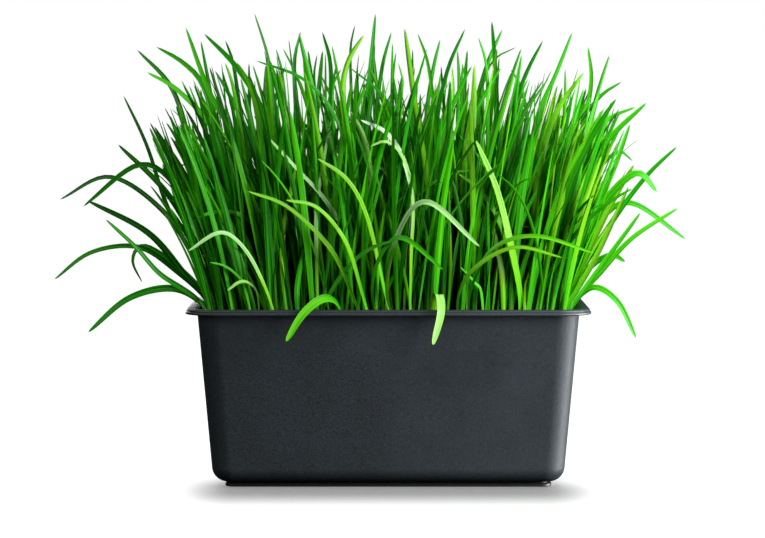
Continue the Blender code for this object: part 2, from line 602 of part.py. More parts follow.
def clump_outline(quad):
    """One clump's outline: its quad, drawn in from its neighbours and cut off at the corners."""
    middle = sum(quad, Vector()) / 4
    drawn = [p + (middle - p).normalized() * CLUMP_GAP for p in quad]
    outline = []
    for k in range(4):
        before, here, after = drawn[k - 1], drawn[k], drawn[(k + 1) % 4]
        outline.append(here + (before - here).normalized() * CORNER_CUT)
        outline.append(here + (after - here).normalized() * CORNER_CUT)
    return outline


def well_inside(outline, point):
    """Whether a root at this point stands a blade's width in from every side of a clump's outline."""
    for here, after in zip(outline, outline[1:] + outline[:1]):
        along = (after - here).normalized()
        if along.x * (point.y - here.y) - along.y * (point.x - here.x) < ROOT_MARGIN:
            return False
    return True


def nearest_clump(outlines, root):
    """The clump that a root belongs to, and the root moved into it where it stood between two."""

    def middle(cell):
        centre = sum(outlines[cell], Vector()) / len(outlines[cell])
        return Vector((centre.x, centre.y, root.z))

    home = min(outlines, key=lambda cell: (middle(cell) - root).length)
    while not well_inside(outlines[home], root):
        root = root + (middle(home) - root).normalized() * GAP
    return home, root


def listed_blade(outlines, root, row, nudge):
    """The clump and the blade of one row of the tables, moved back by the nudge."""
    _, _, tip_y, width, roll, waypoints = row
    home, root = nearest_clump(outlines, root)
    spine = routed_spine(root, (tip_y + nudge) * MM, waypoints)
    turn = math.radians(roll)
    if row in UPRIGHT_BLADES:
        turn -= math.atan2(spine[-1].x - spine[0].x, spine[0].y - spine[-1].y)
    return home, (spine, width * MM, turn, 0.0)


def leaning_blade(draw, root):
    """A blade of the crowd: the further out it stands, the more it leans and bows outwards."""
    out_x = root.x / (RIM_LENGTH / 2)
    out_y = root.y / (RIM_DEPTH / 2)
    lean_x = FAN_ALONG[0] * out_x + FAN_ALONG[1] * out_x * abs(out_x) + draw.gauss(0, STRAY_ALONG)
    lean_y = FAN_ACROSS * out_y + draw.gauss(0, STRAY_ACROSS)
    heading = math.atan2(lean_y, lean_x)
    lean = math.hypot(lean_x, lean_y)
    if draw.random() < DROOPING_SHARE:
        bow, length = draw.uniform(*DROOPING_BOW), draw.uniform(*DROOPING_LENGTH)
    else:
        bow, length = draw.uniform(*UPRIGHT_BOW), draw.triangular(*UPRIGHT_LENGTH)
    late = draw.uniform(*LATE_BOW)
    swing = draw.uniform(-SWING, SWING)
    spine = grown_spine(root, heading, lean, bow, late, swing, length)
    return spine, draw.uniform(*BLADE_WIDTH), draw.uniform(-ROLL, ROLL), draw.uniform(-TWIST, TWIST)


def within_crowd(spine):
    """Whether a blade keeps to the crowd's own shape, which spreads from the rim and rounds over."""
    if abs(spine[0].y) > RIM_DEPTH / 2 - wall_inset(MAT_TOP) - WALL - EDGE_MARGIN:
        return False
    for point in spine:
        up = point.z - TRAY_HEIGHT
        spread = min(CROWD_SLOPE * up, CROWD_SPREAD) - wall_inset(TRAY_HEIGHT) - WALL
        if abs(point.x) > RIM_LENGTH / 2 + spread or abs(point.y) > RIM_DEPTH / 2 + spread:
            return False
        if up > CROWD_TOP * (1 - (point.x / CROWD_REACH) ** 4) ** 0.5:
            return False
    return True


def plant_blades(tray_walls):
    """Every blade, in the clump that its root stands in, each clear of the tray and of the others."""
    quads = clump_quads()
    outlines = {cell: clump_outline(quad) for cell, quad in quads.items()}
    standing = [tray_walls]
    planted = {cell: [] for cell in quads}
    root_z = MAT_TOP - ROOT_SUNK

    def try_planting(cell, blade):
        stations = stations_along(blade)
        fit = fits_among(blade, stations, standing)
        if fit:
            standing.append(fit)
            planted[cell].append((blade, stations))
        return fit

    for row in ARCHING_BLADES + UPRIGHT_BLADES:
        for nudge in NUDGES:
            root = Vector((row[0] * MM, (row[1] + nudge) * MM, root_z))
            if try_planting(*listed_blade(outlines, root, row, nudge)):
                break
        else:
            print("no room for the blade at", row[0], row[1])

    draw = random.Random(SEED)
    along, across = BLADES_PER_CLUMP
    for cell, quad in quads.items():
        for place in range(along * across):
            a, b = place % along, place // along
            for _ in range(MOST_TRIES):
                s = 0.03 + 0.94 * (a + draw.random()) / along
                t = 0.03 + 0.94 * (b + draw.random()) / across
                root = quad[0].lerp(quad[1], s).lerp(quad[3].lerp(quad[2], s), t)
                root.z = root_z
                blade = leaning_blade(draw, root)
                if not well_inside(outlines[cell], root) or not within_crowd(blade[0]):
                    continue
                if try_planting(cell, blade):
                    break
    return outlines, planted


def build_tuft(name, outline, blades, material):
    """A root clump and the blades that grow from it, joined into one body."""
    low = SOIL_TOP + SOIL_UNEVEN + GAP
    rings = [[Vector((p.x, p.y, z)) for p in outline] for z in (low, MAT_TOP)]
    clump = object_from(loft(rings), name, material)
    leaves = bpy.data.collections.new(name + "_leaves")
    bpy.context.scene.collection.children.link(leaves)
    for blade, stations in blades:
        points, faces = blade_shell(blade, stations)
        mesh = bpy.data.meshes.new("leaf")
        mesh.from_pydata(points, [], faces)
        mesh.materials.append(material)
        leaves.objects.link(bpy.data.objects.new("leaf", mesh))
    join = clump.modifiers.new("leaves", "BOOLEAN")
    join.operation = "UNION"
    join.operand_type = "COLLECTION"
    join.collection = leaves
    bpy.context.view_layer.update()
    apply_modifiers(clump)
    for leaf in list(leaves.objects):
        bpy.data.objects.remove(leaf, do_unlink=True)
    bpy.data.collections.remove(leaves)


def walls_of(tray):
    """The tray's surface and box, for keeping the blades clear of it."""
    bm = bmesh.new()
    bm.from_mesh(tray.data)
    tree = BVHTree.FromBMesh(bm)
    bm.free()
    low = (-RIM_LENGTH / 2, -RIM_DEPTH / 2, 0.0)
    high = (RIM_LENGTH / 2, RIM_DEPTH / 2, TRAY_HEIGHT)
    return low, high, tree


def main():
    clear_scene()
    plastic = finish("black_plastic", (0.032, 0.038, 0.042), 0.42)
    earth = finish("potting_soil", (0.028, 0.019, 0.013), 0.95)
    leaf = finish("green_leaf", (0.07, 0.33, 0.02), 0.45)
    tray = build_tray(plastic)
    build_soil(earth)
    outlines, planted = plant_blades(walls_of(tray))
    for (row, k), blades in planted.items():
        build_tuft(f"tuft_{'abc'[row]}{k + 1}", outlines[row, k], blades, leaf)


main()
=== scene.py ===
"""Wheatgrass growing in a deep moulded planter tray, dressed for a studio picture.

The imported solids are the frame. Metres, +Z up, the front that the picture shows faces -Y.
"""

import math
import random

import bpy
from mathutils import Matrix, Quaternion, Vector, kdtree, noise


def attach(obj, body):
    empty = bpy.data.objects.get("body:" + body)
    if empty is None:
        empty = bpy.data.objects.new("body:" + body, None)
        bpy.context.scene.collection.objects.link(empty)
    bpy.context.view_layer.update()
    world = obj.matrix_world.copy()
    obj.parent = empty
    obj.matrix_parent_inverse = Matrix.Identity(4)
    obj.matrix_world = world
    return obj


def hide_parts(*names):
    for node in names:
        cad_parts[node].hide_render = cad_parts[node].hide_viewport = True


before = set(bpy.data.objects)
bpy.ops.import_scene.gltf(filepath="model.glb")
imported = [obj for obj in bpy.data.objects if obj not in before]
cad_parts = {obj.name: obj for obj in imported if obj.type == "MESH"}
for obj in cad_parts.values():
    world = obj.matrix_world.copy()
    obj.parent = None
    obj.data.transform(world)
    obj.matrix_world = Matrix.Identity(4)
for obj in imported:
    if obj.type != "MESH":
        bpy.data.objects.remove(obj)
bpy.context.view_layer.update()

MM = 0.001

# Camera. A long lens two metres off, a little above the grass and tipped down by three degrees, so
# that the rim is seen almost edge on and its back edge hides behind the stems.
PICTURE_WIDTH = 765
FOCAL_PIXELS = 3415.7
SENSOR = 36.0
CAMERA_PLACE = (-3.6 * MM, -2.147, 0.255)
CAMERA_TIP = 3.272
camera_data = bpy.data.cameras.new("camera")
camera_data.sensor_width = SENSOR
camera_data.lens = SENSOR * FOCAL_PIXELS / PICTURE_WIDTH
camera = bpy.data.objects.new("camera", camera_data)
camera.location = CAMERA_PLACE
camera.rotation_euler = (math.radians(90 - CAMERA_TIP), 0, 0)
bpy.context.scene.collection.objects.link(camera)
bpy.context.scene.camera = camera


# The planter tray. One injection moulding in charcoal polypropylene: drafted walls two millimetres
# thick, a flange turned down into a beaded lip, a rounded lower edge and a shallow foot with ribs.
RIM_LENGTH = 250 * MM
RIM_DEPTH = 140 * MM
TRAY_HEIGHT = 111 * MM
WALL = 2 * MM
DRAFT = math.radians(5.0)
FLANGE_OVERHANG = 7.4 * MM
LIP_DROP = 3.6 * MM
RIM_FILLET = 4.4 * MM
CORNER_TOP = 14.1 * MM
CORNER_BASE = 12.5 * MM
CORNER_LEAST = 6.0 * MM
CORNER_STEPS = 14
BASE_ROUND = 9.5 * MM
BASE_LIFT = 3.0 * MM
FOOT_INSET = 24.0 * MM
FLOOR = 2.4 * MM
ARC_STEPS = 12


def wall_inset(z):
    """How far in from the rim's edge the drafted outer wall stands at height z."""
    return FLANGE_OVERHANG + (TRAY_HEIGHT - LIP_DROP - z) * math.tan(DRAFT)


def corner_radius(inset, z):
    """The radius of a level ring's corners, which share their centres with the outer wall's."""
    wall = CORNER_BASE + (CORNER_TOP - CORNER_BASE) * z / TRAY_HEIGHT
    return max(CORNER_LEAST, wall + wall_inset(z) - inset)


def base_round(radius, inset_gap, bottom):
    """The rounded edge between a drafted wall and a floor at height bottom, floor end first."""
    centre_z = bottom + radius
    tangent_z = centre_z - radius * math.sin(DRAFT)
    centre_inset = wall_inset(tangent_z) + inset_gap + radius * math.cos(DRAFT)
    points = []
    for step in range(ARC_STEPS + 1):
        turn = (math.pi / 2 - DRAFT) * step / ARC_STEPS
        points.append((centre_inset - radius * math.sin(turn), centre_z - radius * math.cos(turn)))
    return points


def foot_profile():
    """From the foot's underside up its wall and over a small ledge to the bottom of the tray."""
    ledge = 0.6 * MM
    return [
        (FOOT_INSET + 0.4 * MM, 0.0),
        (FOOT_INSET, 0.4 * MM),
        (FOOT_INSET, BASE_LIFT - 1.3 * MM),
        (FOOT_INSET + ledge, BASE_LIFT - 0.7 * MM),
        (FOOT_INSET + 3 * ledge, BASE_LIFT - 0.7 * MM),
        (FOOT_INSET + 3 * ledge, BASE_LIFT),
    ]


def rim_profile():
    """Under the flange, round the beaded lip and over the top, to where the inner fillet starts."""
    under = TRAY_HEIGHT - 2 * MM
    neck = [
        (wall_inset(under - 1.2 * MM), under - 1.2 * MM),
        (wall_inset(under) - 0.15 * MM, under - 0.6 * MM),
        (wall_inset(under) - 0.5 * MM, under - 0.2 * MM),
        (wall_inset(under) - 1.2 * MM, under),
    ]
    # How far in from the rim's edge, and how far below its top, in millimetres
    drop = LIP_DROP / MM
    lip = [(2.3, 2.0), (2.0, 2.15), (1.8, 2.5), (1.7, drop - 0.3), (1.5, drop), (0.6, drop)]
    bead = [(0.15, 3.35), (0.0, 2.9), (0.0, 2.4), (0.2, 2.05), (0.7, 1.8), (0.85, 1.55)]
    crest = [(0.7, 1.2), (0.8, 0.75), (1.1, 0.35), (1.6, 0.1), (2.2, 0.0), (3.2, 0.0)]
    return neck + [(inset * MM, TRAY_HEIGHT - down * MM) for inset, down in lip + bead + crest]


def inner_profile(gap=0.0, top=TRAY_HEIGHT):
    """The inside, from the rim's fillet down to the floor, drawn in by gap. It starts below top."""
    fillet_z = TRAY_HEIGHT - RIM_FILLET
    wall = wall_inset(fillet_z) + WALL + gap
    points = []
    for step in range(ARC_STEPS + 1):
        turn = math.pi / 2 * step / ARC_STEPS
        inset = wall - RIM_FILLET + RIM_FILLET * math.sin(turn)
        points.append((inset, fillet_z + RIM_FILLET * math.cos(turn)))
    if top < fillet_z:
        points = [(wall_inset(top) + WALL + gap, top)]
    arc = base_round(BASE_ROUND - WALL - gap, WALL + gap, BASE_LIFT - 0.6 * MM + FLOOR + gap)
    return points + arc[::-1]


def ring(half_x, half_y, corner, z, steps=CORNER_STEPS, sides=0):
    """A level rounded rectangle, anticlockwise from above, each straight side cut into sides + 1."""
    corners = []
    for quarter, (side_x, side_y) in enumerate(((1, 1), (-1, 1), (-1, -1), (1, -1))):
        for step in range(steps + 1):
            turn = math.pi / 2 * (quarter + step / steps)
            x = side_x * (half_x - corner) + corner * math.cos(turn)
            y = side_y * (half_y - corner) + corner * math.sin(turn)
            corners.append(Vector((x, y, z)))
    points = []
    for i, point in enumerate(corners):
        points.append(point)
        if i % (steps + 1) == steps:
            after = corners[(i + 1) % len(corners)]
            points += [point.lerp(after, (k + 1) / (sides + 1)) for k in range(sides)]
    return points


def tray_ring(inset, z, steps=CORNER_STEPS, sides=0):
    """The tray's outline at height z, drawn in from the rim's edge by inset."""
    half_x, half_y = RIM_LENGTH / 2 - inset, RIM_DEPTH / 2 - inset
    return ring(half_x, half_y, corner_radius(inset, z), z, steps, sides)


def skin(rings):
    """Points and faces of a closed body skinned over rings, capped at both ends."""
    points = [point for one in rings for point in one]
    count = len(rings[0])
    faces = []
    for row in range(len(rings) - 1):
        for i in range(count):
            j = (i + 1) % count
            low, high = row * count, (row + 1) * count
            faces.append((low + i, low + j, high + j, high + i))
    faces.append(tuple(range(count))[::-1])
    faces.append(tuple(range(len(points) - count, len(points))))
    return points, faces


def piece(name, points, faces, material, sharp=35.0):
    """A named mesh object, smooth but for edges sharper than the given angle in degrees."""
    mesh = bpy.data.meshes.new(name)
    mesh.from_pydata(points, [], faces)
    mesh.materials.append(material)
    mesh.shade_smooth()
    mesh.set_sharp_from_angle(angle=math.radians(sharp))
    obj = bpy.data.objects.new(name, mesh)
    bpy.context.scene.collection.objects.link(obj)
    return obj


def linear(code):
    """A hex sRGB colour as the linear one that a shader takes."""
    parts = [int(code[k : k + 2], 16) / 255 for k in (1, 3, 5)]
    return (*[p / 12.92 if p <= 0.04045 else ((p + 0.055) / 1.055) ** 2.4 for p in parts], 1.0)


def feed(material, node, inputs):
    """Gives a node's inputs their values, or the sockets that feed them."""
    for name, value in inputs.items():
        if isinstance(value, bpy.types.NodeSocket):
            material.node_tree.links.new(value, node.inputs[name])
        else:
            node.inputs[name].default_value = value


def add(material, kind, inputs=None, **settings):
    """A shader node with its settings, and its inputs filled."""
    made = material.node_tree.nodes.new("ShaderNode" + kind)
    for name, value in settings.items():
        setattr(made, name, value)
    feed(material, made, inputs or {})
    return made


def new_material(name, inputs):
    """A material, and its Principled shader with the values given."""
    material = bpy.data.materials.new(name)
    material.use_nodes = True
    shader = material.node_tree.nodes["Principled BSDF"]
    feed(material, shader, inputs)
    return material, shader


def stops(made, colours):
    """Gives a colour ramp its stops, as pairs of a place and a hex colour."""
    elements = made.color_ramp.elements
    while len(elements) < len(colours):
        elements.new(0.5)
    for element, (place, code) in zip(elements, colours):
        element.position = place
        element.color = linear(code)


# Charcoal plastic with the matt grain of a spark-eroded mould, and faint clouds where the melt
# flowed. The foot and the edge just over it are painted nearly black, a painted shade where the tray
# shades itself. The real grain is about 0.1 mm, too fine to show, so it is drawn at 0.9 mm.
MOULD_GRAIN = 0.9 * MM
MELT_CLOUD = 45 * MM
plastic, shader = new_material("moulded_polypropylene", {"Roughness": 0.5, "IOR": 1.49})
where = add(plastic, "TexCoord").outputs["Object"]
grain = add(plastic, "TexNoise", {"Vector": where, "Scale": 1 / MOULD_GRAIN, "Detail": 2.0})
grain = grain.outputs["Fac"]
cloud = add(plastic, "TexNoise", {"Vector": where, "Scale": 1 / MELT_CLOUD, "Detail": 3.0})
tint = add(plastic, "ValToRGB", {"Fac": cloud.outputs["Fac"]})
stops(tint, [(0.3, "#21272b"), (0.7, "#293136")])
speckle = add(plastic, "ValToRGB", {"Fac": grain})
stops(speckle, [(0.35, "#c8c8c8"), (0.65, "#ffffff")])
layers = {6: tint.outputs["Color"], 7: speckle.outputs["Color"], 0: 1.0}
body = add(plastic, "Mix", layers, data_type="RGBA", blend_type="MULTIPLY")
height = add(plastic, "SeparateXYZ", {"Vector": where}).outputs["Z"]
# Painted shade: from twice the foot's height down, the colour is mixed towards near black.
fade = {"Value": height, "From Min": BASE_LIFT, "From Max": 2 * BASE_LIFT, "To Min": 0.9, "To Max": 0.0}
painted_foot_shade = add(plastic, "MapRange", fade)
layers = {0: painted_foot_shade.outputs[0], 6: body.outputs[2], 7: linear("#060708")}
shaded = add(plastic, "Mix", layers, data_type="RGBA")
polish = {"Value": grain, "From Min": 0.3, "From Max": 0.7, "To Min": 0.44, "To Max": 0.56}
rough = add(plastic, "MapRange", polish)
bump = add(plastic, "Bump", {"Height": grain, "Strength": 0.25, "Distance": 0.1 * MM})
fed = {"Base Color": shaded.outputs[2], "Roughness": rough.outputs[0], "Normal": bump.outputs[0]}
feed(plastic, shader, fed)

outside = foot_profile() + base_round(BASE_ROUND, 0.0, BASE_LIFT) + rim_profile()
tray = piece(
    "planter_tray",
    *skin([tray_ring(*place) for place in outside + inner_profile()]),
    plastic,
)

# Four pockets moulded into the foot leave a frame and a cross of ribs that the tray stands on.
POCKET_DEEP = 1.6 * MM
RIB = 6.0 * MM
POCKET_CORNER = 4.0 * MM
half_x = RIM_LENGTH / 2 - FOOT_INSET - RIB
half_y = RIM_DEPTH / 2 - FOOT_INSET - RIB
size_x, size_y = (half_x - RIB / 2) / 2, (half_y - RIB / 2) / 2
pocket_points, pocket_faces = [], []
for side_x in (-1, 1):
    for side_y in (-1, 1):
        shift = Vector((side_x * (half_x - size_x), side_y * (half_y - size_y), 0))
        rings = [ring(size_x, size_y, POCKET_CORNER, z, 6) for z in (-MM, POCKET_DEEP)]
        some, more = skin([[point + shift for point in one] for one in rings])
        pocket_faces += [tuple(len(pocket_points) + i for i in face) for face in more]
        pocket_points += some
cutter = piece("foot_pockets", pocket_points, pocket_faces, plastic)
cut = tray.modifiers.new("foot_pockets", "BOOLEAN")
cut.operation = "DIFFERENCE"
cut.object = cutter
graph = bpy.context.evaluated_depsgraph_get()
cut_mesh = bpy.data.meshes.new_from_object(tray.evaluated_get(graph))
tray.modifiers.clear()
tray.data = cut_mesh
bpy.data.objects.remove(cutter)
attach(tray, "root")
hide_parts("tray")


# Potting soil. Damp peat with fine bark, pressed to the walls and crumbly on top, 20 mm below the
# rim. It is nearly black, and the stems and the seed mat hide all but specks of it.
GAP = 0.3 * MM
SOIL_TOP = TRAY_HEIGHT - 20 * MM
SOIL_RINGS = 40
TOP_STEPS = (8, 12)
# Lumps and crumbs of the top: how wide and how high
SOIL_LUMPS = ((16 * MM, 0.84 * MM), (3.2 * MM, 0.72 * MM))


def drawn_in(edge, count):
    """Rings that shrink evenly from an edge towards the middle, without the edge itself."""
    shares = [1 - step / count for step in range(1, count)]
    return [[Vector((p.x * share, p.y * share, p.z)) for p in edge] for share in shares]


def roughen(rings, lumps, layer):
    """Moves each point up or down by noise, read from its own layer, for every size of lump."""
    for one in rings:
        for point in one:
            flat = Vector((point.x, point.y, layer))
            point.z += sum(high * noise.noise(flat / wide) for wide, high in lumps)


peat, shader = new_material("damp_peat", {"Roughness": 0.95})
where = add(peat, "TexCoord").outputs["Object"]
crumb = add(peat, "TexVoronoi", {"Vector": where, "Scale": 1 / (2.0 * MM)})
fibre = add(peat, "TexNoise", {"Vector": where, "Scale": 1 / (0.8 * MM), "Detail": 4.0})
tint = add(peat, "ValToRGB", {"Fac": fibre.outputs["Fac"]})
stops(tint, [(0.3, "#17120d"), (0.55, "#2a2018"), (0.75, "#4a3826")])
bump = add(peat, "Bump", {"Height": crumb.outputs["Distance"], "Strength": 0.9, "Distance": 0.8 * MM})
feed(peat, shader, {"Base Color": tint.outputs["Color"], "Normal": bump.outputs["Normal"]})

rings = [tray_ring(*place, *TOP_STEPS) for place in inner_profile(GAP, SOIL_TOP)[::-1]]
rings += drawn_in(rings[-1], SOIL_RINGS)
roughen(rings[-SOIL_RINGS:], SOIL_LUMPS, 0.0)
soil = piece("peat_soil", *skin(rings), peat, 60.0)
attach(soil, "root")
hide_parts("soil")


# The root mat. Sprouted wheat seed lies close packed on the soil, and its roots, drawn dark brown,
# knit into a mat about six millimetres thick and lumpy on top. A root is about 0.3 mm thick,
# too fine to show, so the tangle is drawn many times coarser.
MAT_BOTTOM = SOIL_TOP + 1.9 * MM
MAT_TOP = MAT_BOTTOM + 6.0 * MM
MAT_LEVEL = MAT_TOP - 1.0 * MM
MAT_RINGS = 44
MAT_LUMPS = ((4.5 * MM, 0.9 * MM), (2 * MM, 0.5 * MM))
MAT_LAYER = 7.0
TANGLE = 5 * MM

root_mat, shader = new_material("knitted_roots", {"Roughness": 0.9})
where = add(root_mat, "TexCoord").outputs["Object"]
bands = {"Vector": where, "Scale": 1 / TANGLE, "Distortion": 24.0, "Detail": 3.0}
tangle = add(root_mat, "TexWave", bands)
tint = add(root_mat, "ValToRGB", {"Fac": tangle.outputs["Fac"]})
stops(tint, [(0.0, "#1a130c"), (0.75, "#2e2416"), (0.97, "#6b5b3c")])
bump = add(root_mat, "Bump", {"Height": tangle.outputs["Fac"], "Strength": 0.6, "Distance": 0.4 * MM})
feed(root_mat, shader, {"Base Color": tint.outputs["Color"], "Normal": bump.outputs["Normal"]})

low = tray_ring(wall_inset(MAT_BOTTOM) + WALL + GAP, MAT_BOTTOM, *TOP_STEPS)
high = tray_ring(wall_inset(MAT_TOP) + WALL + GAP, MAT_LEVEL, *TOP_STEPS)
rings = [low, high] + drawn_in(high, MAT_RINGS)
roughen(rings[2:], MAT_LUMPS, MAT_LAYER)
mat = piece("root_mat", *skin(rings), root_mat, 60.0)
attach(mat, "root")

# Wheat grains, three by six millimetres, dull tan and dark with damp, lying in the mat.
GRAIN_COUNT = 620
GRAIN_HALF = (3.1 * MM, 1.6 * MM, 1.4 * MM)
GRAIN_RINGS, GRAIN_SIDES = 6, 8
GRAIN_MARGIN = 4 * MM
GRAIN_SUNK = 0.6 * MM
GRAIN_TILT = 0.4
GRAIN_GROWTH = (0.85, 1.1)
CREASE_DEEP, CREASE_WIDE = 0.3, 0.5
SEED = 41

wheat_grain, shader = new_material("wheat_grain", {"Roughness": 0.6})
where = add(wheat_grain, "TexCoord").outputs["Object"]
blotch = add(wheat_grain, "TexNoise", {"Vector": where, "Scale": 1 / (3 * MM), "Detail": 3.0})
tint = add(wheat_grain, "ValToRGB", {"Fac": blotch.outputs["Fac"]})
stops(tint, [(0.3, "#3a2614"), (0.55, "#6e4d28"), (0.8, "#94713f")])
feed(wheat_grain, shader, {"Base Color": tint.outputs["Color"]})


def grain_points(place, turn, tilt, size):
    """One grain's points from end to end, with the crease along its upper side."""
    lie = Quaternion((0, 0, 1), turn) @ Quaternion((0, 1, 0), -tilt)
    points = []
    for r in range(GRAIN_RINGS + 1):
        polar = math.pi * r / GRAIN_RINGS
        for k in range(GRAIN_SIDES if 0 < r < GRAIN_RINGS else 1):
            around = 2 * math.pi * k / GRAIN_SIDES
            crease = 1 - CREASE_DEEP * math.exp(-(((around - math.pi / 2) / CREASE_WIDE) ** 2))
            u = GRAIN_HALF[0] * math.cos(polar)
            v = GRAIN_HALF[1] * math.sin(polar) * math.cos(around)
            w = GRAIN_HALF[2] * math.sin(polar) * math.sin(around) * crease
            points.append(place + size * (lie @ Vector((u, v, w))))
    return points


def grain_faces(first, last):
    """The faces of a grain whose two ends are the points first and last."""
    faces = []
    for k in range(GRAIN_SIDES):
        j, a = (k + 1) % GRAIN_SIDES, first + 1
        faces.append((first, a + k, a + j))
        for _ in range(GRAIN_RINGS - 2):
            b = a + GRAIN_SIDES
            faces.append((a + k, b + k, b + j, a + j))
            a = b
        faces.append((a + k, last, a + j))
    return faces


draw = random.Random(SEED)
points, faces = [], []
for _ in range(GRAIN_COUNT):
    x = draw.uniform(-1, 1) * (high[0].x - GRAIN_MARGIN)
    y = draw.uniform(-1, 1) * (max(p.y for p in high) - GRAIN_MARGIN)
    turn = draw.uniform(0, math.pi)
    tilt = draw.uniform(-GRAIN_TILT, GRAIN_TILT)
    size = draw.uniform(*GRAIN_GROWTH)
    first = len(points)
    points += grain_points(Vector((x, y, MAT_TOP - GRAIN_SUNK)), turn, tilt, size)
    faces += grain_faces(first, len(points) - 1)
grains = piece("sprouted_grains", points, faces, wheat_grain, 80.0)
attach(grains, "root")


# Wheatgrass leaves. Each grows from a clump of seed in the mat, folds along its midrib and draws out
# to a long point. The solids give where each leaf runs: the same tables and seeded draws are gone
# through again here, and one counts where the clump's solid has a leaf that ends at the same point.
CLUMP_ROWS = (6, 5, 6)
CLUMP_JITTER = 2.5 * MM
CLUMP_GAP = 1.0 * MM
CORNER_CUT = 7.0 * MM
CLUMP_INSET = 0.6 * MM
ROW_SLOPE = 0.03
CLUMP_EDGE = 0.03
BLADES_PER_CLUMP = (6, 4)
ROOT_SUNK = 4.0 * MM
ROOT_MARGIN = 2.0 * MM
EDGE_MARGIN = 8.0 * MM
KEEL = (0.8 * MM, 0.62 * MM)
LEAF_THICK = 0.24 * MM
MOST_TRIES = 60
SPINE_STEPS = 36
SPAN_STEPS = 16
SAME_TIP = 0.05 * MM

# Habit of the crowd: angles in radians, and the range that each blade's own value is drawn from
FAN_ALONG = (0.06, 0.24)
FAN_ACROSS = 0.14
STRAY_ALONG = 0.075
STRAY_ACROSS = 0.06
DROOPING_SHARE = 0.08
DROOPING_BOW = (1.1, 2.2)
DROOPING_LENGTH = (85 * MM, 150 * MM)
UPRIGHT_BOW = (0.05, 0.5)
UPRIGHT_LENGTH = (80 * MM, 188 * MM, 170 * MM)
LATE_BOW = (1.2, 2.4)
BLADE_WIDTH = (3.0 * MM, 4.6 * MM)
SWING = 0.35
ROLL = 1.3
TWIST = 0.9

# Outline of the crowd above the rim
CROWD_TOP = 168 * MM
CROWD_REACH = 175 * MM
CROWD_SPREAD = 38 * MM
CROWD_SLOPE = 0.45
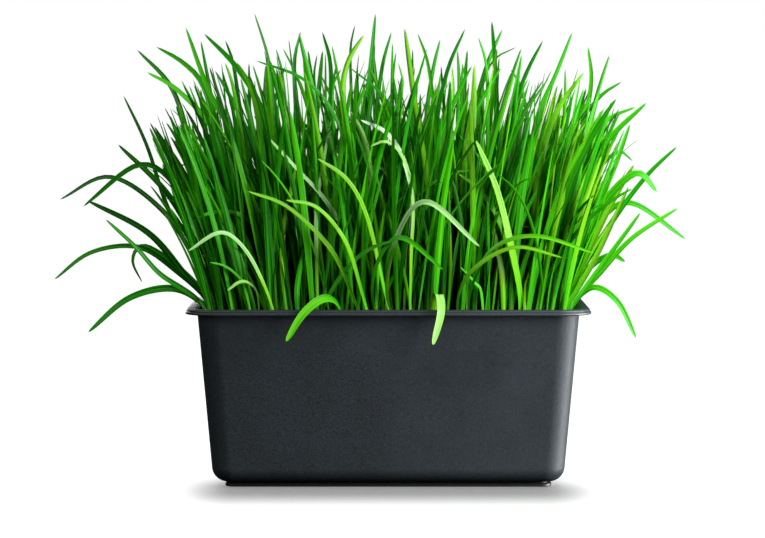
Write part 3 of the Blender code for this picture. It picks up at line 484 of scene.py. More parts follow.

# The blades that arch out of the crowd, one row each, in millimetres and as seen from the front:
# where the root stands (x, y), the tip's y, the blade's width, its roll in degrees, the points that
# it passes up to its tip (along x, above the rim), and how light its green is, from 0 to 1, which
# at 0.95 and over is a whitish painted highlight
ARCHING_BLADES = (
    # Left side, lowest first
    (-104, -28, -36, 5.0, -60, ((-113, -1), (-133, 11), (-161, 5), (-186, -16)), 0.3),
    (-103, -14, -24, 3.6, -65, ((-113, 2), (-130, 19), (-155, 36), (-185, 33), (-208, 16)), 0.2),
    (-102, 4, 10, 4.6, -65, ((-112, 0), (-129, 18), (-152, 44), (-190, 64)), 0.1),
    (-105, -46, -58, 3.6, -65, ((-117, 5), (-140, 21), (-155, 38), (-173, 55)), 0.2),
    (-103, 30, 44, 3.8, -65, ((-120, 7), (-143, 27), (-158, 34), (-164, 24), (-158, 10)), 0.2),
    (-97, 14, -10, 4.4, -60, ((-118, 40), (-135, 75), (-157, 87), (-191, 61)), 0.3),
    (-100, -22, 26, 3.4, -80, ((-120, 25), (-141, 57), (-176, 79), (-209, 64)), 0.1),
    (-98, 24, 30, 4.6, -65, ((-117, 26), (-140, 67), (-172, 99)), 0.2),
    (-93, 42, 50, 3.0, -65, ((-118, 15), (-141, 57), (-155, 98), (-170, 130)), 0.1),
    # Upper left
    (-93, 2, -8, 4.2, -75, ((-111, 50), (-125, 103), (-136, 136), (-157, 159)), 0.1),
    (-72, -26, -38, 4.8, -65, ((-86, 50), (-104, 103), (-129, 133), (-149, 145)), 0.6),
    (-80, 18, 24, 4.6, -70, ((-92, 40), (-107, 100), (-117, 136), (-130, 151), (-147, 161)), 0.45),
    (-70, -8, 0, 4.0, -80, ((-82, 60), (-97, 105), (-112, 132), (-127, 173)), 0.6),
    (-57, -18, -10, 4.6, -75, ((-66, 50), (-77, 115), (-93, 146), (-115, 169)), 0.3),
    (-58, 4, 2, 2.6, -80, ((-64, 50), (-71, 118), (-75, 152), (-84, 182)), 0.2),
    (-8, -38, -56, 3.4, -60, ((-17, 60), (-31, 114), (-51, 140), (-81, 152)), 0.3),
    # Upper right
    (84, -12, -22, 3.8, 70, ((95, 40), (110, 97), (130, 128), (145, 139)), 0.4),
    (90, 14, 10, 4.0, 70, ((102, 40), (118, 89), (137, 114), (156, 123)), 0.5),
    (92, -24, -28, 4.8, 72, ((106, 40), (122, 82), (139, 106), (160, 126)), 0.5),
    # Right side, highest first
    (100, 22, 30, 4.2, 76, ((114, 20), (129, 51), (143, 82), (154, 112)), 0.5),
    (98, 40, 46, 3.8, 70, ((114, 30), (131, 76), (147, 94), (157, 88)), 0.3),
    (102, -36, -38, 6.2, 66, ((116, 24), (132, 62), (153, 83), (166, 71)), 0.5),
    (104, -4, 8, 3.8, 62, ((118, 14), (143, 54), (163, 80), (182, 98)), 0.3),
    (100, 28, 20, 4.2, 70, ((117, 20), (135, 51), (155, 62), (189, 39)), 0.5),
    (105, -18, -12, 3.6, 66, ((116, 2), (130, 17), (152, 41), (181, 60)), 0.6),
    (103, -42, -34, 3.4, 70, ((116, 4), (128, 20), (156, 58)), 0.5),
    (99, -50, -56, 3.6, 72, ((114, 8), (129, 35), (147, 75)), 0.8),
    (104, 10, -2, 5.0, 70, ((115, 5), (127, 22), (140, 30), (149, 26)), 0.5),
    (103, -28, -44, 4.2, 62, ((113, 0), (127, 12), (142, 3), (153, -19)), 0.5),
    # Front face, left to right
    (-82, -54, -64, 2.2, -60, ((-88, 13), (-94, 22), (-101, 27), (-109, 29)), 0.6),
    (-66, -53, -84, 3.2, -65, ((-76, 15), (-88, 38), (-102, 48), (-121, 37)), 0.95),
    (-76, -53, -70, 2.8, -50, ((-80, 8), (-85, 16), (-91, 17), (-98, 12)), 0.9),
    (-13, -50, -80, 3.6, -65, ((-21, 6), (-35, 37), (-61, 63), (-85, 73)), 0.8),
    (-9, -54, -88, 3.6, -70, ((-16, 10), (-26, 42), (-43, 63), (-62, 68)), 0.8),
    (-14, -47, -64, 3.4, -62, ((-19, 22), (-27, 48), (-41, 70), (-53, 83), (-74, 106)), 0.95),
    (-26, -54, -84, 5.6, -50, ((-31, 3), (-40, 7), (-52, -2), (-62, -18)), 0.7),
    (2, -52, -84, 3.8, -75, ((-3, 15), (-13, 57), (-25, 80), (-43, 93)), 0.82),
    (-4, -55, -92, 3.6, 75, ((-10, 12), (-4, 35), (9, 45), (33, 26)), 0.5),
    (8, -55, -92, 4.0, 75, ((-1, 10), (5, 45), (23, 67), (55, 40)), 0.95),
    (9, -46, -70, 4.6, -85, ((12, 32), (15, 63), (10, 90), (-1, 108), (-17, 116)), 1.0),
    (13, -55, -76, 3.0, -85, ((14, 32), (15, 67), (9, 93), (-1, 103), (-11, 100)), 0.9),
    (27, -54, -84, 5.6, 8, ((29, 4), (31, 10), (32, -1), (27, -20)), 0.9),
    (40, -54, -84, 3.0, 65, ((43, 8), (53, 26), (77, 39), (105, 33)), 0.8),
    (50, -50, -90, 3.0, 65, ((50, 10), (63, 37), (89, 46), (124, 36)), 0.7),
    (59, -55, -62, 2.4, -65, ((57, 10), (53, 16), (49, 21), (44, 26)), 0.6),
    (73, -46, -50, 2.4, -50, ((71, 32), (66, 71), (57, 91), (51, 98), (43, 107)), 0.4),
    (78, -50, -76, 5.2, -95, ((81, 8), (75, 39), (66, 74), (53, 104)), 0.87),
    (70, -30, -36, 3.2, 60, ((75, 30), (82, 57), (104, 78), (134, 104)), 0.1),
    # Back face, left to right
    (-84, 53, 84, 4.0, -45, ((-92, 15), (-101, 40), (-112, 48), (-126, 35)), 0.5),
    (-52, 54, 86, 4.8, 45, ((-50, 12), (-42, 38), (-28, 46), (-4, 28)), 0.6),
    (-30, 50, 82, 4.4, -45, ((-38, 12), (-50, 46), (-70, 66), (-96, 62)), 0.4),
    (8, 54, 84, 5.4, -40, ((5, 4), (0, 9), (-8, -1), (-14, -18)), 0.6),
    (22, 50, 84, 4.6, 45, ((30, 14), (42, 48), (60, 66), (84, 58)), 0.7),
    (58, 54, 88, 4.6, -45, ((52, 12), (42, 40), (26, 50), (6, 38)), 0.5),
    (80, 52, 82, 4.2, 45, ((88, 12), (98, 40), (114, 52), (134, 40)), 0.6),
)

# The blades that draw the skyline and the front of the stand, in the same way, but with the angle
# from the tray's length to which their sides turn in place of the roll
UPRIGHT_BLADES = (
    # The skyline, left to right
    (-88, 20, 26, 3.4, 20, ((-98, 50), (-108, 105), (-114, 138), (-119, 165)), 0.3),
    (-78, -6, -4, 3.6, 160, ((-84, 50), (-92, 115), (-97, 150), (-102, 165)), 0.3),
    (-76, -30, -32, 3.6, 20, ((-84, 50), (-91, 105), (-96, 136), (-101, 151)), 0.7),
    (-80, -38, -42, 3.4, -20, ((-88, 50), (-94, 110), (-98, 131), (-102, 144)), 0.3),
    (-68, -46, -46, 4.4, 160, ((-71, 28), (-75, 66), (-78, 102), (-84, 134), (-93, 151)), 0.7),
    (-50, 12, 16, 3.0, 20, ((-57, 50), (-63, 105), (-67, 144), (-71, 160)), 0.4),
    (-34, -10, -6, 2.8, -20, ((-38, 50), (-48, 112), (-57, 142), (-66, 160)), 0.6),
    (-66, -52, -50, 3.4, 20, ((-69, 32), (-68, 70), (-64, 101), (-64, 126), (-67, 147)), 0.85),
    (-70, 10, 14, 3.2, -20, ((-73, 50), (-73, 112), (-70, 133), (-65, 149)), 0.4),
    (-62, -40, -38, 3.8, 200, ((-66, 28), (-62, 62), (-57, 112), (-58, 150), (-54, 170)), 0.3),
    (-44, -46, -44, 4.6, 15, ((-46, 12), (-43, 44), (-45, 90), (-46, 128), (-55, 169)), 0.45),
    (-40, -30, -28, 2.8, -20, ((-42, 50), (-44, 118), (-46, 142), (-44, 156)), 0.3),
    (-36, -20, -20, 4.0, 165, ((-37, 50), (-36, 118), (-36, 150), (-41, 170)), 0.3),
    (-27, -40, -40, 3.0, 20, ((-31, 50), (-34, 112), (-34, 136), (-29, 147)), 0.4),
    (-18, 22, 24, 2.8, -25, ((-22, 50), (-23, 118), (-24, 158), (-21, 175)), 0.2),
    (-15, -44, -42, 4.8, 15, ((-18, 32), (-21, 79), (-28, 128), (-25, 151), (-15, 168)), 0.8),
    (-12, 14, 12, 4.2, 200, ((-15, 50), (-14, 115), (-11, 150), (-8, 182)), 0.3),
    (-6, -22, -22, 3.6, 20, ((-9, 50), (-8, 110), (-4, 147), (2, 170)), 0.3),
    (6, 34, 38, 2.6, -20, ((8, 55), (6, 118), (3, 137), (5, 158)), 0.5),
    (2, -34, -34, 2.6, 20, ((4, 55), (6, 118), (9, 138), (6, 151)), 0.5),
    (21, -46, -44, 4.6, -15, ((24, 12), (27, 42), (24, 75), (17, 121), (10, 172)), 0.8),
    (27, -36, -36, 3.2, 160, ((29, 32), (30, 98), (25, 147), (18, 169)), 0.6),
    (20, 20, 24, 3.8, 20, ((22, 50), (24, 112), (28, 144), (33, 166)), 0.4),
    (26, -6, -8, 3.6, -20, ((28, 50), (30, 110), (37, 146), (48, 172)), 0.3),
    (40, -14, -14, 3.4, 20, ((43, 60), (44, 118), (44, 143), (43, 159)), 0.2),
    (36, -40, -40, 3.2, 200, ((38, 50), (39, 118), (40, 135), (39, 149)), 0.8),
    (33, -24, -30, 2.8, 30, ((28, 50), (12, 104), (-4, 131), (-24, 148)), 0.3),
    (44, 28, 32, 2.4, -20, ((44, 60), (44, 118), (46, 139), (51, 154)), 0.4),
    (47, -34, -34, 5.0, 10, ((50, 50), (52, 105), (53, 132), (53, 149)), 0.85),
    (56, -14, -14, 3.0, 20, ((61, 60), (62, 122), (61, 150), (56, 167)), 0.5),
    (60, 2, 4, 4.4, 160, ((66, 50), (68, 115), (67, 150), (65, 177)), 0.3),
    (50, 14, 12, 4.2, 20, ((53, 50), (55, 112), (62, 148), (72, 172)), 0.35),
    (52, 36, 40, 2.2, -20, ((56, 60), (58, 122), (66, 151), (82, 161)), 0.3),
    (72, -14, -16, 2.8, 20, ((76, 60), (79, 118), (81, 140), (83, 156)), 0.4),
    (66, 18, 20, 3.8, -20, ((70, 50), (77, 112), (87, 143), (98, 165)), 0.3),
    (80, 30, 34, 3.6, 20, ((86, 50), (89, 108), (85, 134), (78, 147)), 0.35),
    (68, -30, -32, 2.6, -20, ((73, 50), (82, 112), (90, 128), (99, 141)), 0.5),
    (78, -6, -8, 3.8, 20, ((83, 50), (92, 112), (105, 144), (115, 170)), 0.45),
    (86, -48, -46, 4.6, 15, ((88, 16), (90, 56), (93, 86), (102, 118), (120, 145)), 0.75),
    (88, -18, -20, 3.0, -20, ((98, 50), (108, 105), (110, 130), (110, 147)), 0.6),
    (92, 36, 40, 2.6, 20, ((102, 50), (112, 104), (116, 124), (120, 135)), 0.4),
    (84, 10, 12, 4.0, 160, ((100, 40), (120, 100), (128, 137), (126, 161)), 0.6),
    (89, -2, 2, 3.4, -20, ((106, 50), (123, 102), (132, 134), (139, 156)), 0.5),
    # The front of the stand, left to right
    (-102, -48, -56, 2.6, 20, ((-104, 10), (-105, 19), (-108, 29), (-114, 33)), 0.5),
    (-92, -44, -50, 2.4, 200, ((-96, 9), (-101, 18), (-106, 27)), 0.5),
    (-78, -48, -50, 3.6, 25, ((-86, 14), (-94, 44), (-104, 69), (-120, 104)), 0.7),
    (-74, -50, -52, 3.6, -20, ((-82, 26), (-92, 52), (-106, 80), (-124, 114)), 0.6),
    (-61, -54, -54, 3.0, 15, ((-65, 22), (-65, 37), (-63, 57), (-52, 105)), 0.85),
    (-55, -54, -56, 3.4, 20, ((-56, 8), (-55, 20), (-52, 33), (-47, 42)), 0.4),
    (-46, -38, -40, 2.8, -20, ((-49, 50), (-52, 87), (-52, 101), (-57, 135)), 0.8),
    (-42, -54, -54, 2.6, 20, ((-44, 32), (-44, 62), (-40, 89), (-35, 116)), 0.95),
    (-35, -50, -50, 2.4, -20, ((-39, 13), (-41, 28), (-44, 51), (-50, 96)), 0.7),
    (-35, -44, -44, 2.2, 10, ((-36, 32), (-36, 64), (-37, 81), (-40, 91)), 0.8),
    (-33, -38, -38, 3.0, 20, ((-40, 32), (-47, 67), (-57, 93), (-64, 125)), 0.9),
    (-22, -50, -50, 3.6, -25, ((-24, 32), (-28, 71), (-33, 96), (-41, 116)), 0.9),
    (-8, -48, -49, 4.2, -15, ((-11, 32), (-12, 52), (-11, 81), (-15, 105), (-24, 122)), 0.9),
    (-7, -42, -42, 2.6, 20, ((-9, 32), (-9, 67), (-9, 80), (-8, 92)), 0.85),
    (-8, -54, -56, 2.4, 20, ((-6, 33), (-4, 50), (-1, 63), (7, 79)), 0.7),
    (17, -52, -53, 3.2, -20, ((9, 22), (2, 49), (-5, 72), (-9, 88)), 0.8),
    (18, -42, -42, 4.0, 20, ((18, 32), (17, 71), (16, 96), (17, 113)), 0.3),
    (30, -48, -48, 3.4, 20, ((30, 23), (31, 41), (36, 61), (44, 92)), 0.7),
    (37, -54, -54, 2.2, -20, ((38, 23), (37, 63), (37, 83), (34, 96)), 0.8),
    (43, -44, -44, 4.8, 15, ((45, 32), (46, 71), (48, 99), (50, 120)), 0.85),
    (61, -50, -50, 2.8, -20, ((64, 11), (68, 28), (72, 58), (80, 89)), 0.5),
    (66, -38, -38, 4.8, 20, ((68, 33), (72, 64), (79, 89), (89, 108)), 0.15),
    (71, -54, -56, 3.6, 15, ((70, 19), (67, 37), (63, 52), (57, 67)), 0.9),
    (80, -48, -48, 2.2, -20, ((83, 20), (86, 33), (87, 42)), 0.9),
    (84, -54, -55, 2.2, 10, ((84, 11), (86, 22)), 0.8),
    (90, -42, -44, 3.2, 20, ((94, 11), (98, 37), (105, 68), (112, 98)), 0.6),
    (94, -48, -50, 3.4, -15, ((97, 13), (99, 31), (105, 70), (115, 101)), 0.85),
    (98, -54, -56, 3.2, -20, ((104, 19), (108, 41), (114, 64), (122, 86)), 0.8),
    (103, -46, -48, 3.6, 15, ((107, 15), (110, 39), (115, 62), (126, 93)), 0.9),
)

# How far a listed blade is moved forward or back, in millimetres, where another one is in its way
NUDGES = (0, 1.5, -1.5, 3, -3, 4.5, -4.5, 6, -6, 8, -8)


def grown_spine(root, heading, lean, bow, late, swing, length):
    """A spine that leaves its root leaning, bows further over as it rises and swings sideways."""
    points = [Vector(root)]
    for step in range(SPINE_STEPS):
        share = (step + 0.5) / SPINE_STEPS
        tilt = lean + bow * share**late
        turn = heading + swing * share
        direction = Vector(
            (math.sin(tilt) * math.cos(turn), math.sin(tilt) * math.sin(turn), math.cos(tilt))
        )
        points.append(points[-1] + direction * (length / SPINE_STEPS))
    return points


def even_spine(points):
    """The same curve, with its points spaced evenly along it."""
    run = [0.0]
    for a, b in zip(points, points[1:]):
        run.append(run[-1] + (b - a).length)
    even, i = [], 0
    for step in range(SPINE_STEPS + 1):
        target = run[-1] * step / SPINE_STEPS
        while i < len(points) - 2 and run[i + 1] < target:
            i += 1
        share = (target - run[i]) / (run[i + 1] - run[i])
        even.append(points[i].lerp(points[i + 1], share))
    return even


def routed_spine(root, tip_y, waypoints):
    """A spine along a smooth curve through its root and waypoints; y runs from the root's to tip_y."""
    knots = [(root.x, root.z)] + [(x * MM, TRAY_HEIGHT + up * MM) for x, up in waypoints]
    first, last = knots[0], knots[-1]
    before = (2 * first[0] - knots[1][0], 2 * first[1] - knots[1][1])
    after = (2 * last[0] - knots[-2][0], 2 * last[1] - knots[-2][1])
    knots = [before] + knots + [after]
    spans = len(knots) - 3
    steps = SPAN_STEPS * spans
    points = []
    for step in range(steps + 1):
        span = min(step // SPAN_STEPS, spans - 1)
        t = step / SPAN_STEPS - span
        a, b, c, d = knots[span : span + 4]
        flat = []
        for k in (0, 1):
            slope_in, slope_out = (c[k] - a[k]) / 2, (d[k] - b[k]) / 2
            rise = c[k] - b[k]
            cubic = slope_in + slope_out - 2 * rise
            square = 3 * rise - 2 * slope_in - slope_out
            flat.append(b[k] + slope_in * t + square * t**2 + cubic * t**3)
        y = root.y + (tip_y - root.y) * step / steps
        points.append(Vector((flat[0], y, flat[1])))
    return even_spine(points)


def blade_width(share):
    """How wide a blade is along its length, as a share of its full width: slim foot, sword tip."""
    foot = 0.42 + 0.58 * min(1.0, share / 0.4) ** 0.9
    along_tip = max(0.0, (share - 0.5) / 0.5)
    taper = (1.0 - 0.35 * along_tip) * (1.0 - along_tip**8) ** 0.5
    return foot * taper


def blade_frames(spine, roll, twist):
    """Side vectors along a spine, carried without twisting, then rolled and twisted evenly."""
    directions = [(b - a).normalized() for a, b in zip(spine, spine[1:])]
    directions.append(directions[-1])
    across = spine[-1] - spine[0]
    side = Vector((-across.y, across.x, 0.0))
    if side.length < 1e-6:
        side = Vector((1.0, 0.0, 0.0))
    side = (side - directions[0] * side.dot(directions[0])).normalized()
    frames = []
    for i, direction in enumerate(directions):
        if i:
            side = directions[i - 1].rotation_difference(direction) @ side
        turn = roll + twist * i / SPINE_STEPS
        frames.append((direction, Quaternion(direction, turn) @ side))
    return frames


def clump_quads():
    """Four corners for each root clump: rows across the soil, with joints staggered and askew."""
    draw = random.Random(SEED)
    inset = wall_inset(MAT_TOP) + WALL + CLUMP_INSET
    half_x, half_y = RIM_LENGTH / 2 - inset, RIM_DEPTH / 2 - inset
    rows = len(CLUMP_ROWS)
    slopes = [0.0] + [draw.uniform(-ROW_SLOPE, ROW_SLOPE) for _ in range(rows - 1)] + [0.0]
    quads = {}
    for row, count in enumerate(CLUMP_ROWS):
        joints = []
        for k in range(count + 1):
            x = half_x * (2 * k / count - 1)
            inside = 0 < k < count
            low = x + draw.uniform(-1, 1) * CLUMP_JITTER * inside
            high = x + draw.uniform(-1, 1) * CLUMP_JITTER * inside
            y_low = half_y * (2 * row / rows - 1) + slopes[row] * low
            y_high = half_y * (2 * (row + 1) / rows - 1) + slopes[row + 1] * high
            joints.append((Vector((low, y_low, 0.0)), Vector((high, y_high, 0.0))))
        for k in range(count):
            left, right = joints[k], joints[k + 1]
            quads[row, k] = (left[0], right[0], right[1], left[1])
    return quads


def clump_outline(quad):
    """One clump's outline: its quad, drawn in from its neighbours and cut off at the corners."""
    middle = sum(quad, Vector()) / 4
    drawn = [p + (middle - p).normalized() * CLUMP_GAP for p in quad]
    outline = []
    for k in range(4):
        before, here, after = drawn[k - 1], drawn[k], drawn[(k + 1) % 4]
        outline.append(here + (before - here).normalized() * CORNER_CUT)
        outline.append(here + (after - here).normalized() * CORNER_CUT)
    return outline


def well_inside(outline, point):
    """Whether a root at this point stands a blade's width in from every side of a clump's outline."""
    for here, after in zip(outline, outline[1:] + outline[:1]):
        along = (after - here).normalized()
        if along.x * (point.y - here.y) - along.y * (point.x - here.x) < ROOT_MARGIN:
            return False
    return True


def nearest_clump(outlines, root):
    """The clump that a root belongs to, and the root moved into it where it stood between two."""
    middles = {cell: sum(corners, Vector()) / len(corners) for cell, corners in outlines.items()}
    home = min(middles, key=lambda cell: (middles[cell].xy - root.xy).length)
    while not well_inside(outlines[home], root):
        root = root + (middles[home].xy - root.xy).normalized().to_3d() * GAP
    return home, root


def listed_blade(outlines, root, row, nudge):
    """The clump and the blade of one row of the tables, moved back by the nudge."""
    _, _, tip_y, width, roll, waypoints, _ = row
    home, root = nearest_clump(outlines, root)
    spine = routed_spine(root, (tip_y + nudge) * MM, waypoints)
    turn = math.radians(roll)
    if row in UPRIGHT_BLADES:
        turn -= math.atan2(spine[-1].x - spine[0].x, spine[0].y - spine[-1].y)
    return home, (spine, width * MM, turn, 0.0)


def root_in(quad, s, t):
    """The place at shares s and t across a clump's quad, at the height of the roots."""
    root = quad[0].lerp(quad[1], s).lerp(quad[3].lerp(quad[2], s), t)
    root.z = MAT_TOP - ROOT_SUNK
    return root


def leaning_blade(draw, root, drooping=DROOPING_SHARE, bows=UPRIGHT_BOW, lengths=UPRIGHT_LENGTH):
    """A blade of the crowd: the further out it stands, the more it leans and bows outwards."""
    out_x = root.x / (RIM_LENGTH / 2)
    out_y = root.y / (RIM_DEPTH / 2)
    lean_x = FAN_ALONG[0] * out_x + FAN_ALONG[1] * out_x * abs(out_x) + draw.gauss(0, STRAY_ALONG)
    lean_y = FAN_ACROSS * out_y + draw.gauss(0, STRAY_ACROSS)
    heading = math.atan2(lean_y, lean_x)
    lean = math.hypot(lean_x, lean_y)
    if draw.random() < drooping:
        bow, length = draw.uniform(*DROOPING_BOW), draw.uniform(*DROOPING_LENGTH)
    else:
        bow, length = draw.uniform(*bows), draw.triangular(*lengths)
    late = draw.uniform(*LATE_BOW)
    swing = draw.uniform(-SWING, SWING)
    spine = grown_spine(root, heading, lean, bow, late, swing, length)
    return spine, draw.uniform(*BLADE_WIDTH), draw.uniform(-ROLL, ROLL), draw.uniform(-TWIST, TWIST)


def within_crowd(spine):
    """Whether a blade keeps to the crowd's own shape, which spreads from the rim and rounds over."""
    if abs(spine[0].y) > RIM_DEPTH / 2 - wall_inset(MAT_TOP) - WALL - EDGE_MARGIN:
        return False
    for point in spine:
        up = point.z - TRAY_HEIGHT
        spread = min(CROWD_SLOPE * up, CROWD_SPREAD) - wall_inset(TRAY_HEIGHT) - WALL
        if abs(point.x) > RIM_LENGTH / 2 + spread or abs(point.y) > RIM_DEPTH / 2 + spread:
            return False
        if up > CROWD_TOP * (1 - (point.x / CROWD_REACH) ** 4) ** 0.5:
            return False
    return True


quads = clump_quads()
outlines = {cell: clump_outline(quad) for cell, quad in quads.items()}
leaves = {cell: [] for cell in quads}
tones = {cell: [] for cell in quads}
solid_points = {}
for row, k in quads:
    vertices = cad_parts[f"tuft_{'abc'[row]}{k + 1}"].data.vertices
    tree = kdtree.KDTree(len(vertices))
    for vertex in vertices:
        tree.insert(vertex.co, vertex.index)
    tree.balance()
    solid_points[row, k] = tree

for row in ARCHING_BLADES + UPRIGHT_BLADES:
    for nudge in NUDGES:
        root = Vector((row[0] * MM, (row[1] + nudge) * MM, MAT_TOP - ROOT_SUNK))
        home, leaf = listed_blade(outlines, root, row, nudge)
        if solid_points[home].find(leaf[0][-1])[2] < SAME_TIP:
            leaves[home].append(leaf)
            tones[home].append(row[-1])
            break

draw = random.Random(SEED)
columns, lines = BLADES_PER_CLUMP
inner = 1 - 2 * CLUMP_EDGE
for cell, quad in quads.items():
    for place in range(columns * lines):
        column, line = place % columns, place // columns
        for _ in range(MOST_TRIES):
            s = CLUMP_EDGE + inner * (column + draw.random()) / columns
            t = CLUMP_EDGE + inner * (line + draw.random()) / lines
            root = root_in(quad, s, t)
            leaf = leaning_blade(draw, root)
            if not well_inside(outlines[cell], root) or not within_crowd(leaf[0]):
                continue
            if solid_points[cell].find(leaf[0][-1])[2] < SAME_TIP:
                leaves[cell].append(leaf)
                break
print("leaves of the solids:", sum(len(some) for some in leaves.values()))

# Finer growth between them. Second leaves part from the lower third of a first one, and thin young
# shoots come up from seed that sprouted late. None leaves the outline of the solids' crowd. Widths
# are shares of a first leaf's, and the young shoots' habit is the share that droops, then the bows
# and the lengths of the others.
SECOND_SHARE = 0.5
SECOND_FROM = (3, 9)
SECOND_LENGTH = (55 * MM, 120 * MM)
SECOND_PARTS = (0.1, 0.4)
SECOND_BOW = (0.2, 1.3)
SECOND_SWING = (-0.5, 0.5)
SECOND_WIDTH = (0.5, 0.85)
SECOND_ROLL = (-1, 1)
SECOND_TWIST = (-0.8, 0.8)
YOUNG_PER_CLUMP = 62
YOUNG_WIDTH = (0.7, 1.0)
YOUNG_HABIT = 0.03, (0.02, 0.4), (50 * MM, 175 * MM, 120 * MM)
LATE_TOP = TRAY_HEIGHT + 0.85 * CROWD_TOP
draw = random.Random(SEED + 1)
for cell, quad in quads.items():
    for parent, width, roll, _ in list(leaves[cell]):
        if draw.random() > SECOND_SHARE:
            continue
        knot = draw.randint(*SECOND_FROM)
        forward = (parent[knot + 1] - parent[knot]).normalized()
        heading = draw.uniform(-math.pi, math.pi)
        lean_x = forward.x + draw.uniform(*SECOND_PARTS) * math.cos(heading)
        lean_y = forward.y + draw.uniform(*SECOND_PARTS) * math.sin(heading)
        heading, lean = math.atan2(lean_y, lean_x), math.hypot(lean_x, lean_y)
        habit = [draw.uniform(*ends) for ends in (SECOND_BOW, LATE_BOW, SECOND_SWING, SECOND_LENGTH)]
        spine = even_spine(parent[:knot] + grown_spine(parent[knot], heading, lean, *habit))
        slim = width * draw.uniform(*SECOND_WIDTH)
        leaf = spine, slim, roll + draw.uniform(*SECOND_ROLL), draw.uniform(*SECOND_TWIST)
        if within_crowd(spine) and spine[-1].z < LATE_TOP:
            leaves[cell].append(leaf)
    for _ in range(YOUNG_PER_CLUMP):
        s, t = draw.uniform(CLUMP_EDGE, 1 - CLUMP_EDGE), draw.uniform(CLUMP_EDGE, 1 - CLUMP_EDGE)
        spine, width, roll, twist = leaning_blade(draw, root_in(quad, s, t), *YOUNG_HABIT)
        if within_crowd(spine) and spine[-1].z < LATE_TOP:
            leaves[cell].append((spine, width * draw.uniform(*YOUNG_WIDTH), roll, twist))

# A leaf's section: where across it each point of a ring lies, and whether on the upper side. A listed
# leaf has more rings, because it arches further. The fold's exponent rounds the keel a little.
SECTION = ((-1, 0), (-0.5, 1), (0, 1), (0.5, 1), (1, 0), (0.5, 0), (0, 0), (-0.5, 0))
LISTED_RINGS = 34
CROWD_RINGS = 16
LAST_RING = 0.985
FOLD_DEPTH = 0.5
FOLD_EXPONENT = 1.15


def leaf_body(leaf, rings):
    """A thin leaf folded along its midrib: points, faces, and each point's share across and along."""
    spine, width, roll, twist = leaf
    frames = blade_frames(spine, roll, twist)
    points, marks = [], []
    for share in [k / rings for k in range(rings)] + [LAST_RING]:
        place = min(share * SPINE_STEPS, SPINE_STEPS - 1e-9)
        i = int(place)
        centre = spine[i].lerp(spine[i + 1], place - i)
        direction, side = frames[i]
        up = direction.cross(side)
        half = width * blade_width(share) / 2
        depth = min(KEEL[0] + (KEEL[1] - KEEL[0]) * share, FOLD_DEPTH * half)
        thick = min(LEAF_THICK, 0.5 * depth)
        for place_across, upper in SECTION:
            sink = depth * (1 - abs(place_across) ** FOLD_EXPONENT)
            sink -= thick * upper * (1 - place_across**2)
            points.append(centre + side * (half * place_across) - up * sink)
            marks.append((place_across, share))
    count = len(SECTION)
    faces = [tuple(range(count))]
    for first in range(0, len(points) - count, count):
        for k in range(count):
            j = (k + 1) % count
            faces.append((first + j, first + k, first + count + k, first + count + j))
    first = len(points) - count
    points.append(spine[-1].copy())
    marks.append((0.0, 1.0))
    for k in range(count):
        faces.append((first + (k + 1) % count, first + k, len(points) - 1))
    return points, faces, marks


# Leaf tissue. A satin skin over green that is deepest low on the leaf, with a pale foot, a lighter
# midrib and edges, uneven streaks and furrows, and painted shade deep in the stand. The lightest
# leaves are painted whitish, a painted highlight where they throw back the light overhead. Real
# veins lie 0.25 mm apart, too fine to show, so streaks about 1 mm wide stand for them.
MARKS = ("across", "along", "tone", "shade")
STREAK_SCALE = (2.2, 1.6, 90.0)
satin = {"Roughness": 0.35, "IOR": 1.42, "Specular IOR Level": 0.2}
tissue, shader = new_material("wheatgrass_leaf", satin)
across, along, tone, shade = [
    add(tissue, "Attribute", attribute_name=name).outputs["Fac"] for name in MARKS
]
mixed = add(tissue, "CombineXYZ", {"X": across, "Y": along, "Z": tone}).outputs[0]
mixed = add(tissue, "VectorMath", {0: mixed, 1: STREAK_SCALE}, operation="MULTIPLY").outputs[0]
streak = add(tissue, "TexNoise", {"Vector": mixed, "Scale": 1.0, "Detail": 3.0})
wave = add(tissue, "Math", {0: across, 1: 2.0 * math.pi}, operation="MULTIPLY")
wave = add(tissue, "Math", {0: wave.outputs[0]}, operation="COSINE")

# How much of each look a point has: what it is read from, over which range, and the share at its ends
looks = {}
for look, value, start, end, at_start, at_end in (
    ("grown", along, 0.1, 0.5, 0.75, 1.0),
    ("vein", wave.outputs[0], 0.55, 1.0, 0.0, 0.42),
    ("streak", streak.outputs["Fac"], 0.5, 0.75, 0.0, 0.35),
    ("furrow", streak.outputs["Fac"], 0.36, 0.48, 0.5, 0.0),
    ("foot", along, 0.02, 0.2, 0.35, 0.0),
):
    ends = {"Value": value, "From Min": start, "From Max": end, "To Min": at_start, "To Max": at_end}
    looks[look] = add(tissue, "MapRange", ends).outputs[0]
pale = add(tissue, "Math", {0: looks["vein"], 1: looks["streak"]}, operation="ADD")
light = add(tissue, "Math", {0: tone, 1: looks["grown"]}, operation="MULTIPLY")
green = add(tissue, "ValToRGB", {"Fac": light.outputs[0]})
# The two top stops, whitish, are a painted highlight.
shades = [(0.0, "#005400"), (0.35, "#108c00"), (0.65, "#3cac00"), (0.85, "#78b818")]
stops(green, shades + [(0.95, "#9ccc84"), (1.0, "#d8ecd4")])
colour = green.outputs["Color"]
# The last layer is painted shade: near black on the stems deep in the stand.
for share, code in (
    (pale.outputs[0], "#64c82c"),
    (looks["furrow"], "#014400"),
    (looks["foot"], "#8ccc40"),
    (shade, "#021400"),
):
    layer = add(tissue, "Mix", {0: share, 6: colour, 7: linear(code)}, data_type="RGBA")
    colour = layer.outputs[2]
bump = add(tissue, "Bump", {"Height": looks["vein"], "Strength": 0.3, "Distance": 0.1 * MM})
feed(tissue, shader, {"Base Color": colour, "Normal": bump.outputs["Normal"]})
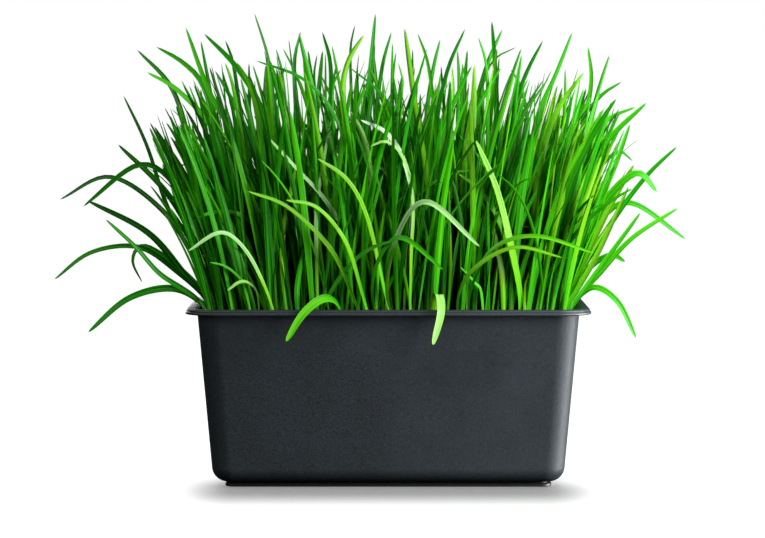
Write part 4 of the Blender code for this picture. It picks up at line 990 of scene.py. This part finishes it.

# The crowd's greens differ at random, and get lighter towards the right as painted light on the side
# the lamps shine from. The stems are painted darker inside the stand, a painted shade where little
# light reaches, from this height above the rim down and from this far in from its edge.
TONE_MEAN = 0.4
PAINTED_LIGHT_RISE = 0.15
TONE_SPREAD = 0.38
SHADE_MOST = 0.92
SHADE_CURVE = 0.7
SHADE_HEIGHT = 75 * MM
SHADE_MARGIN = 14 * MM
SHADE_DEPTH = 16 * MM


def shade_at(point):
    """How much painted shade a point takes, from 0 outside to most deep between the stems."""
    low = 1 - (point.z - TRAY_HEIGHT) / SHADE_HEIGHT
    in_x = RIM_LENGTH / 2 - SHADE_MARGIN - abs(point.x)
    in_y = RIM_DEPTH / 2 - SHADE_MARGIN - abs(point.y)
    inside = min(in_x, in_y) / SHADE_DEPTH
    return SHADE_MOST * min(1, max(0, low)) ** SHADE_CURVE * min(1, max(0, inside))


draw = random.Random(SEED + 2)
for (row, k), grown in leaves.items():
    points, faces, marks = [], [], []
    listed = tones[row, k]
    for i, leaf in enumerate(grown):
        # Painted light: the tone rises towards the right, where the lamps stand.
        light = TONE_MEAN + PAINTED_LIGHT_RISE * leaf[0][0].x / (RIM_LENGTH / 2)
        light += TONE_SPREAD * draw.uniform(-1, 1)
        if i < len(listed):
            light = listed[i]
        some, more, placed = leaf_body(leaf, LISTED_RINGS if i < len(listed) else CROWD_RINGS)
        faces += [tuple(len(points) + corner for corner in face) for face in more]
        points += some
        marks += [(*mark, light, shade_at(point)) for mark, point in zip(placed, some)]
    clump = piece(f"leaves_{'abc'[row]}{k + 1}", points, faces, tissue, 75.0)
    for name, values in zip(MARKS, zip(*marks)):
        clump.data.attributes.new(name, "FLOAT", "POINT").data.foreach_set("value", values)
    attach(clump, "root")
    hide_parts(f"tuft_{'abc'[row]}{k + 1}")


# Studio. A pale matt floor under five plain softboxes: a wide one overhead, a key light and a low one
# at the right, a fill at the left and one behind. The floor glows white but for a soft shadow with
# rounded ends along the front of the tray: a painted shadow where the glow fades, over the real one
# that the overhead light casts.
FLOOR_HALF = 6.0
SHADOW_HALF = 93 * MM
SHADOW_END = 46 * MM
SHADOW_MIDDLE = -68 * MM
SHADOW_DEPTH = 100 * MM
SHADOW_CORE = 0.05
GLOW_LEAST = 0.19
FAR = 9.0
matt = {"Base Color": linear("#fafafa"), "Roughness": 0.9, "Emission Color": (1, 1, 1, 1)}
paint, shader = new_material("matt_floor_paint", matt)
where = add(paint, "SeparateXYZ", {"Vector": add(paint, "TexCoord").outputs["Object"]})
aside = add(paint, "Math", {0: where.outputs["X"]}, operation="ABSOLUTE").outputs[0]
ends = {"Value": aside, "From Min": SHADOW_HALF, "From Max": SHADOW_HALF + FAR * SHADOW_END}
past_end = add(paint, "MapRange", {**ends, "To Max": FAR})
ends = {"Value": where.outputs["Y"], "From Min": SHADOW_MIDDLE, "From Max": SHADOW_MIDDLE + SHADOW_DEPTH}
forward = add(paint, "MapRange", ends, clamp=False)
scaled = add(paint, "CombineXYZ", {"X": past_end.outputs[0], "Y": forward.outputs[0]})
away = add(paint, "VectorMath", {0: scaled.outputs[0]}, operation="LENGTH")
ends = {"Value": away.outputs["Value"], "From Min": SHADOW_CORE, "To Min": GLOW_LEAST}
# Painted shadow: the glow falls to GLOW_LEAST in the rounded patch in front of the tray.
glow = add(paint, "MapRange", ends, interpolation_type="SMOOTHSTEP")
feed(paint, shader, {"Emission Strength": glow.outputs[0]})
FLOOR_BACK = 8 * FLOOR_HALF
corners = [(x, y, 0) for y in (-FLOOR_HALF, FLOOR_BACK) for x in (-FLOOR_HALF, FLOOR_HALF)]
floor = piece("studio_floor", corners, [(0, 1, 3, 2)], paint)
floor.visible_diffuse = False
floor.visible_glossy = False


def softbox(name, place, target, width, height, watts):
    """A plain white area light that faces its target."""
    data = bpy.data.lights.new(name, "AREA")
    data.shape = "RECTANGLE"
    data.size, data.size_y = width, height
    data.energy = watts
    lamp = bpy.data.objects.new(name, data)
    lamp.location = place
    lamp.rotation_euler = (Vector(target) - Vector(place)).to_track_quat("-Z", "Y").to_euler()
    bpy.context.scene.collection.objects.link(lamp)
    return lamp


softbox("overhead", (0.1, 0.1, 1.3), (0, 0, 0.1), 2.2, 1.8, 9)
wall = softbox("right_wall", (0.95, -0.1, 0.06), (0, 0, 0.08), 0.6, 0.4, 38)
key = softbox("right_key", (0.44, -0.36, 0.3), (0.02, 0, 0.16), 0.35, 0.4, 6.8)
fill = softbox("left_fill", (-0.75, -0.45, 0.42), (-0.1, 0, 0.18), 0.5, 0.6, 3)
back = softbox("back_fill", (-0.4, 1.0, 0.5), (0, 0, 0.15), 0.8, 0.8, 9)

# Only the overhead light falls on the floor, and the low one at the right only on the tray.
unlit = bpy.data.collections.new("lit_from_above_only")
unlit.objects.link(floor)
for lamp in (key, fill, back):
    lamp.light_linking.receiver_collection = unlit
unlit.collection_objects[0].light_linking.link_state = "EXCLUDE"
flagged = bpy.data.collections.new("lit_by_the_right_wall")
flagged.objects.link(tray)
wall.light_linking.receiver_collection = flagged

# The backdrop is white to the eye and lights the object hardly at all.
world = bpy.data.worlds.new("studio")
world.use_nodes = True
bpy.context.scene.world = world
background = world.node_tree.nodes["Background"]
feed(world, background, {"Color": (1, 1, 1, 1), "Strength": 0.01})
seen = add(world, "Background", {"Color": (1, 1, 1, 1)})
direct = add(world, "LightPath").outputs["Is Camera Ray"]
either = add(world, "MixShader", {"Fac": direct, 1: background.outputs[0], 2: seen.outputs[0]})
feed(world, world.node_tree.nodes["World Output"], {"Surface": either.outputs[0]})
bpy.context.scene.view_settings.view_transform = "Standard"
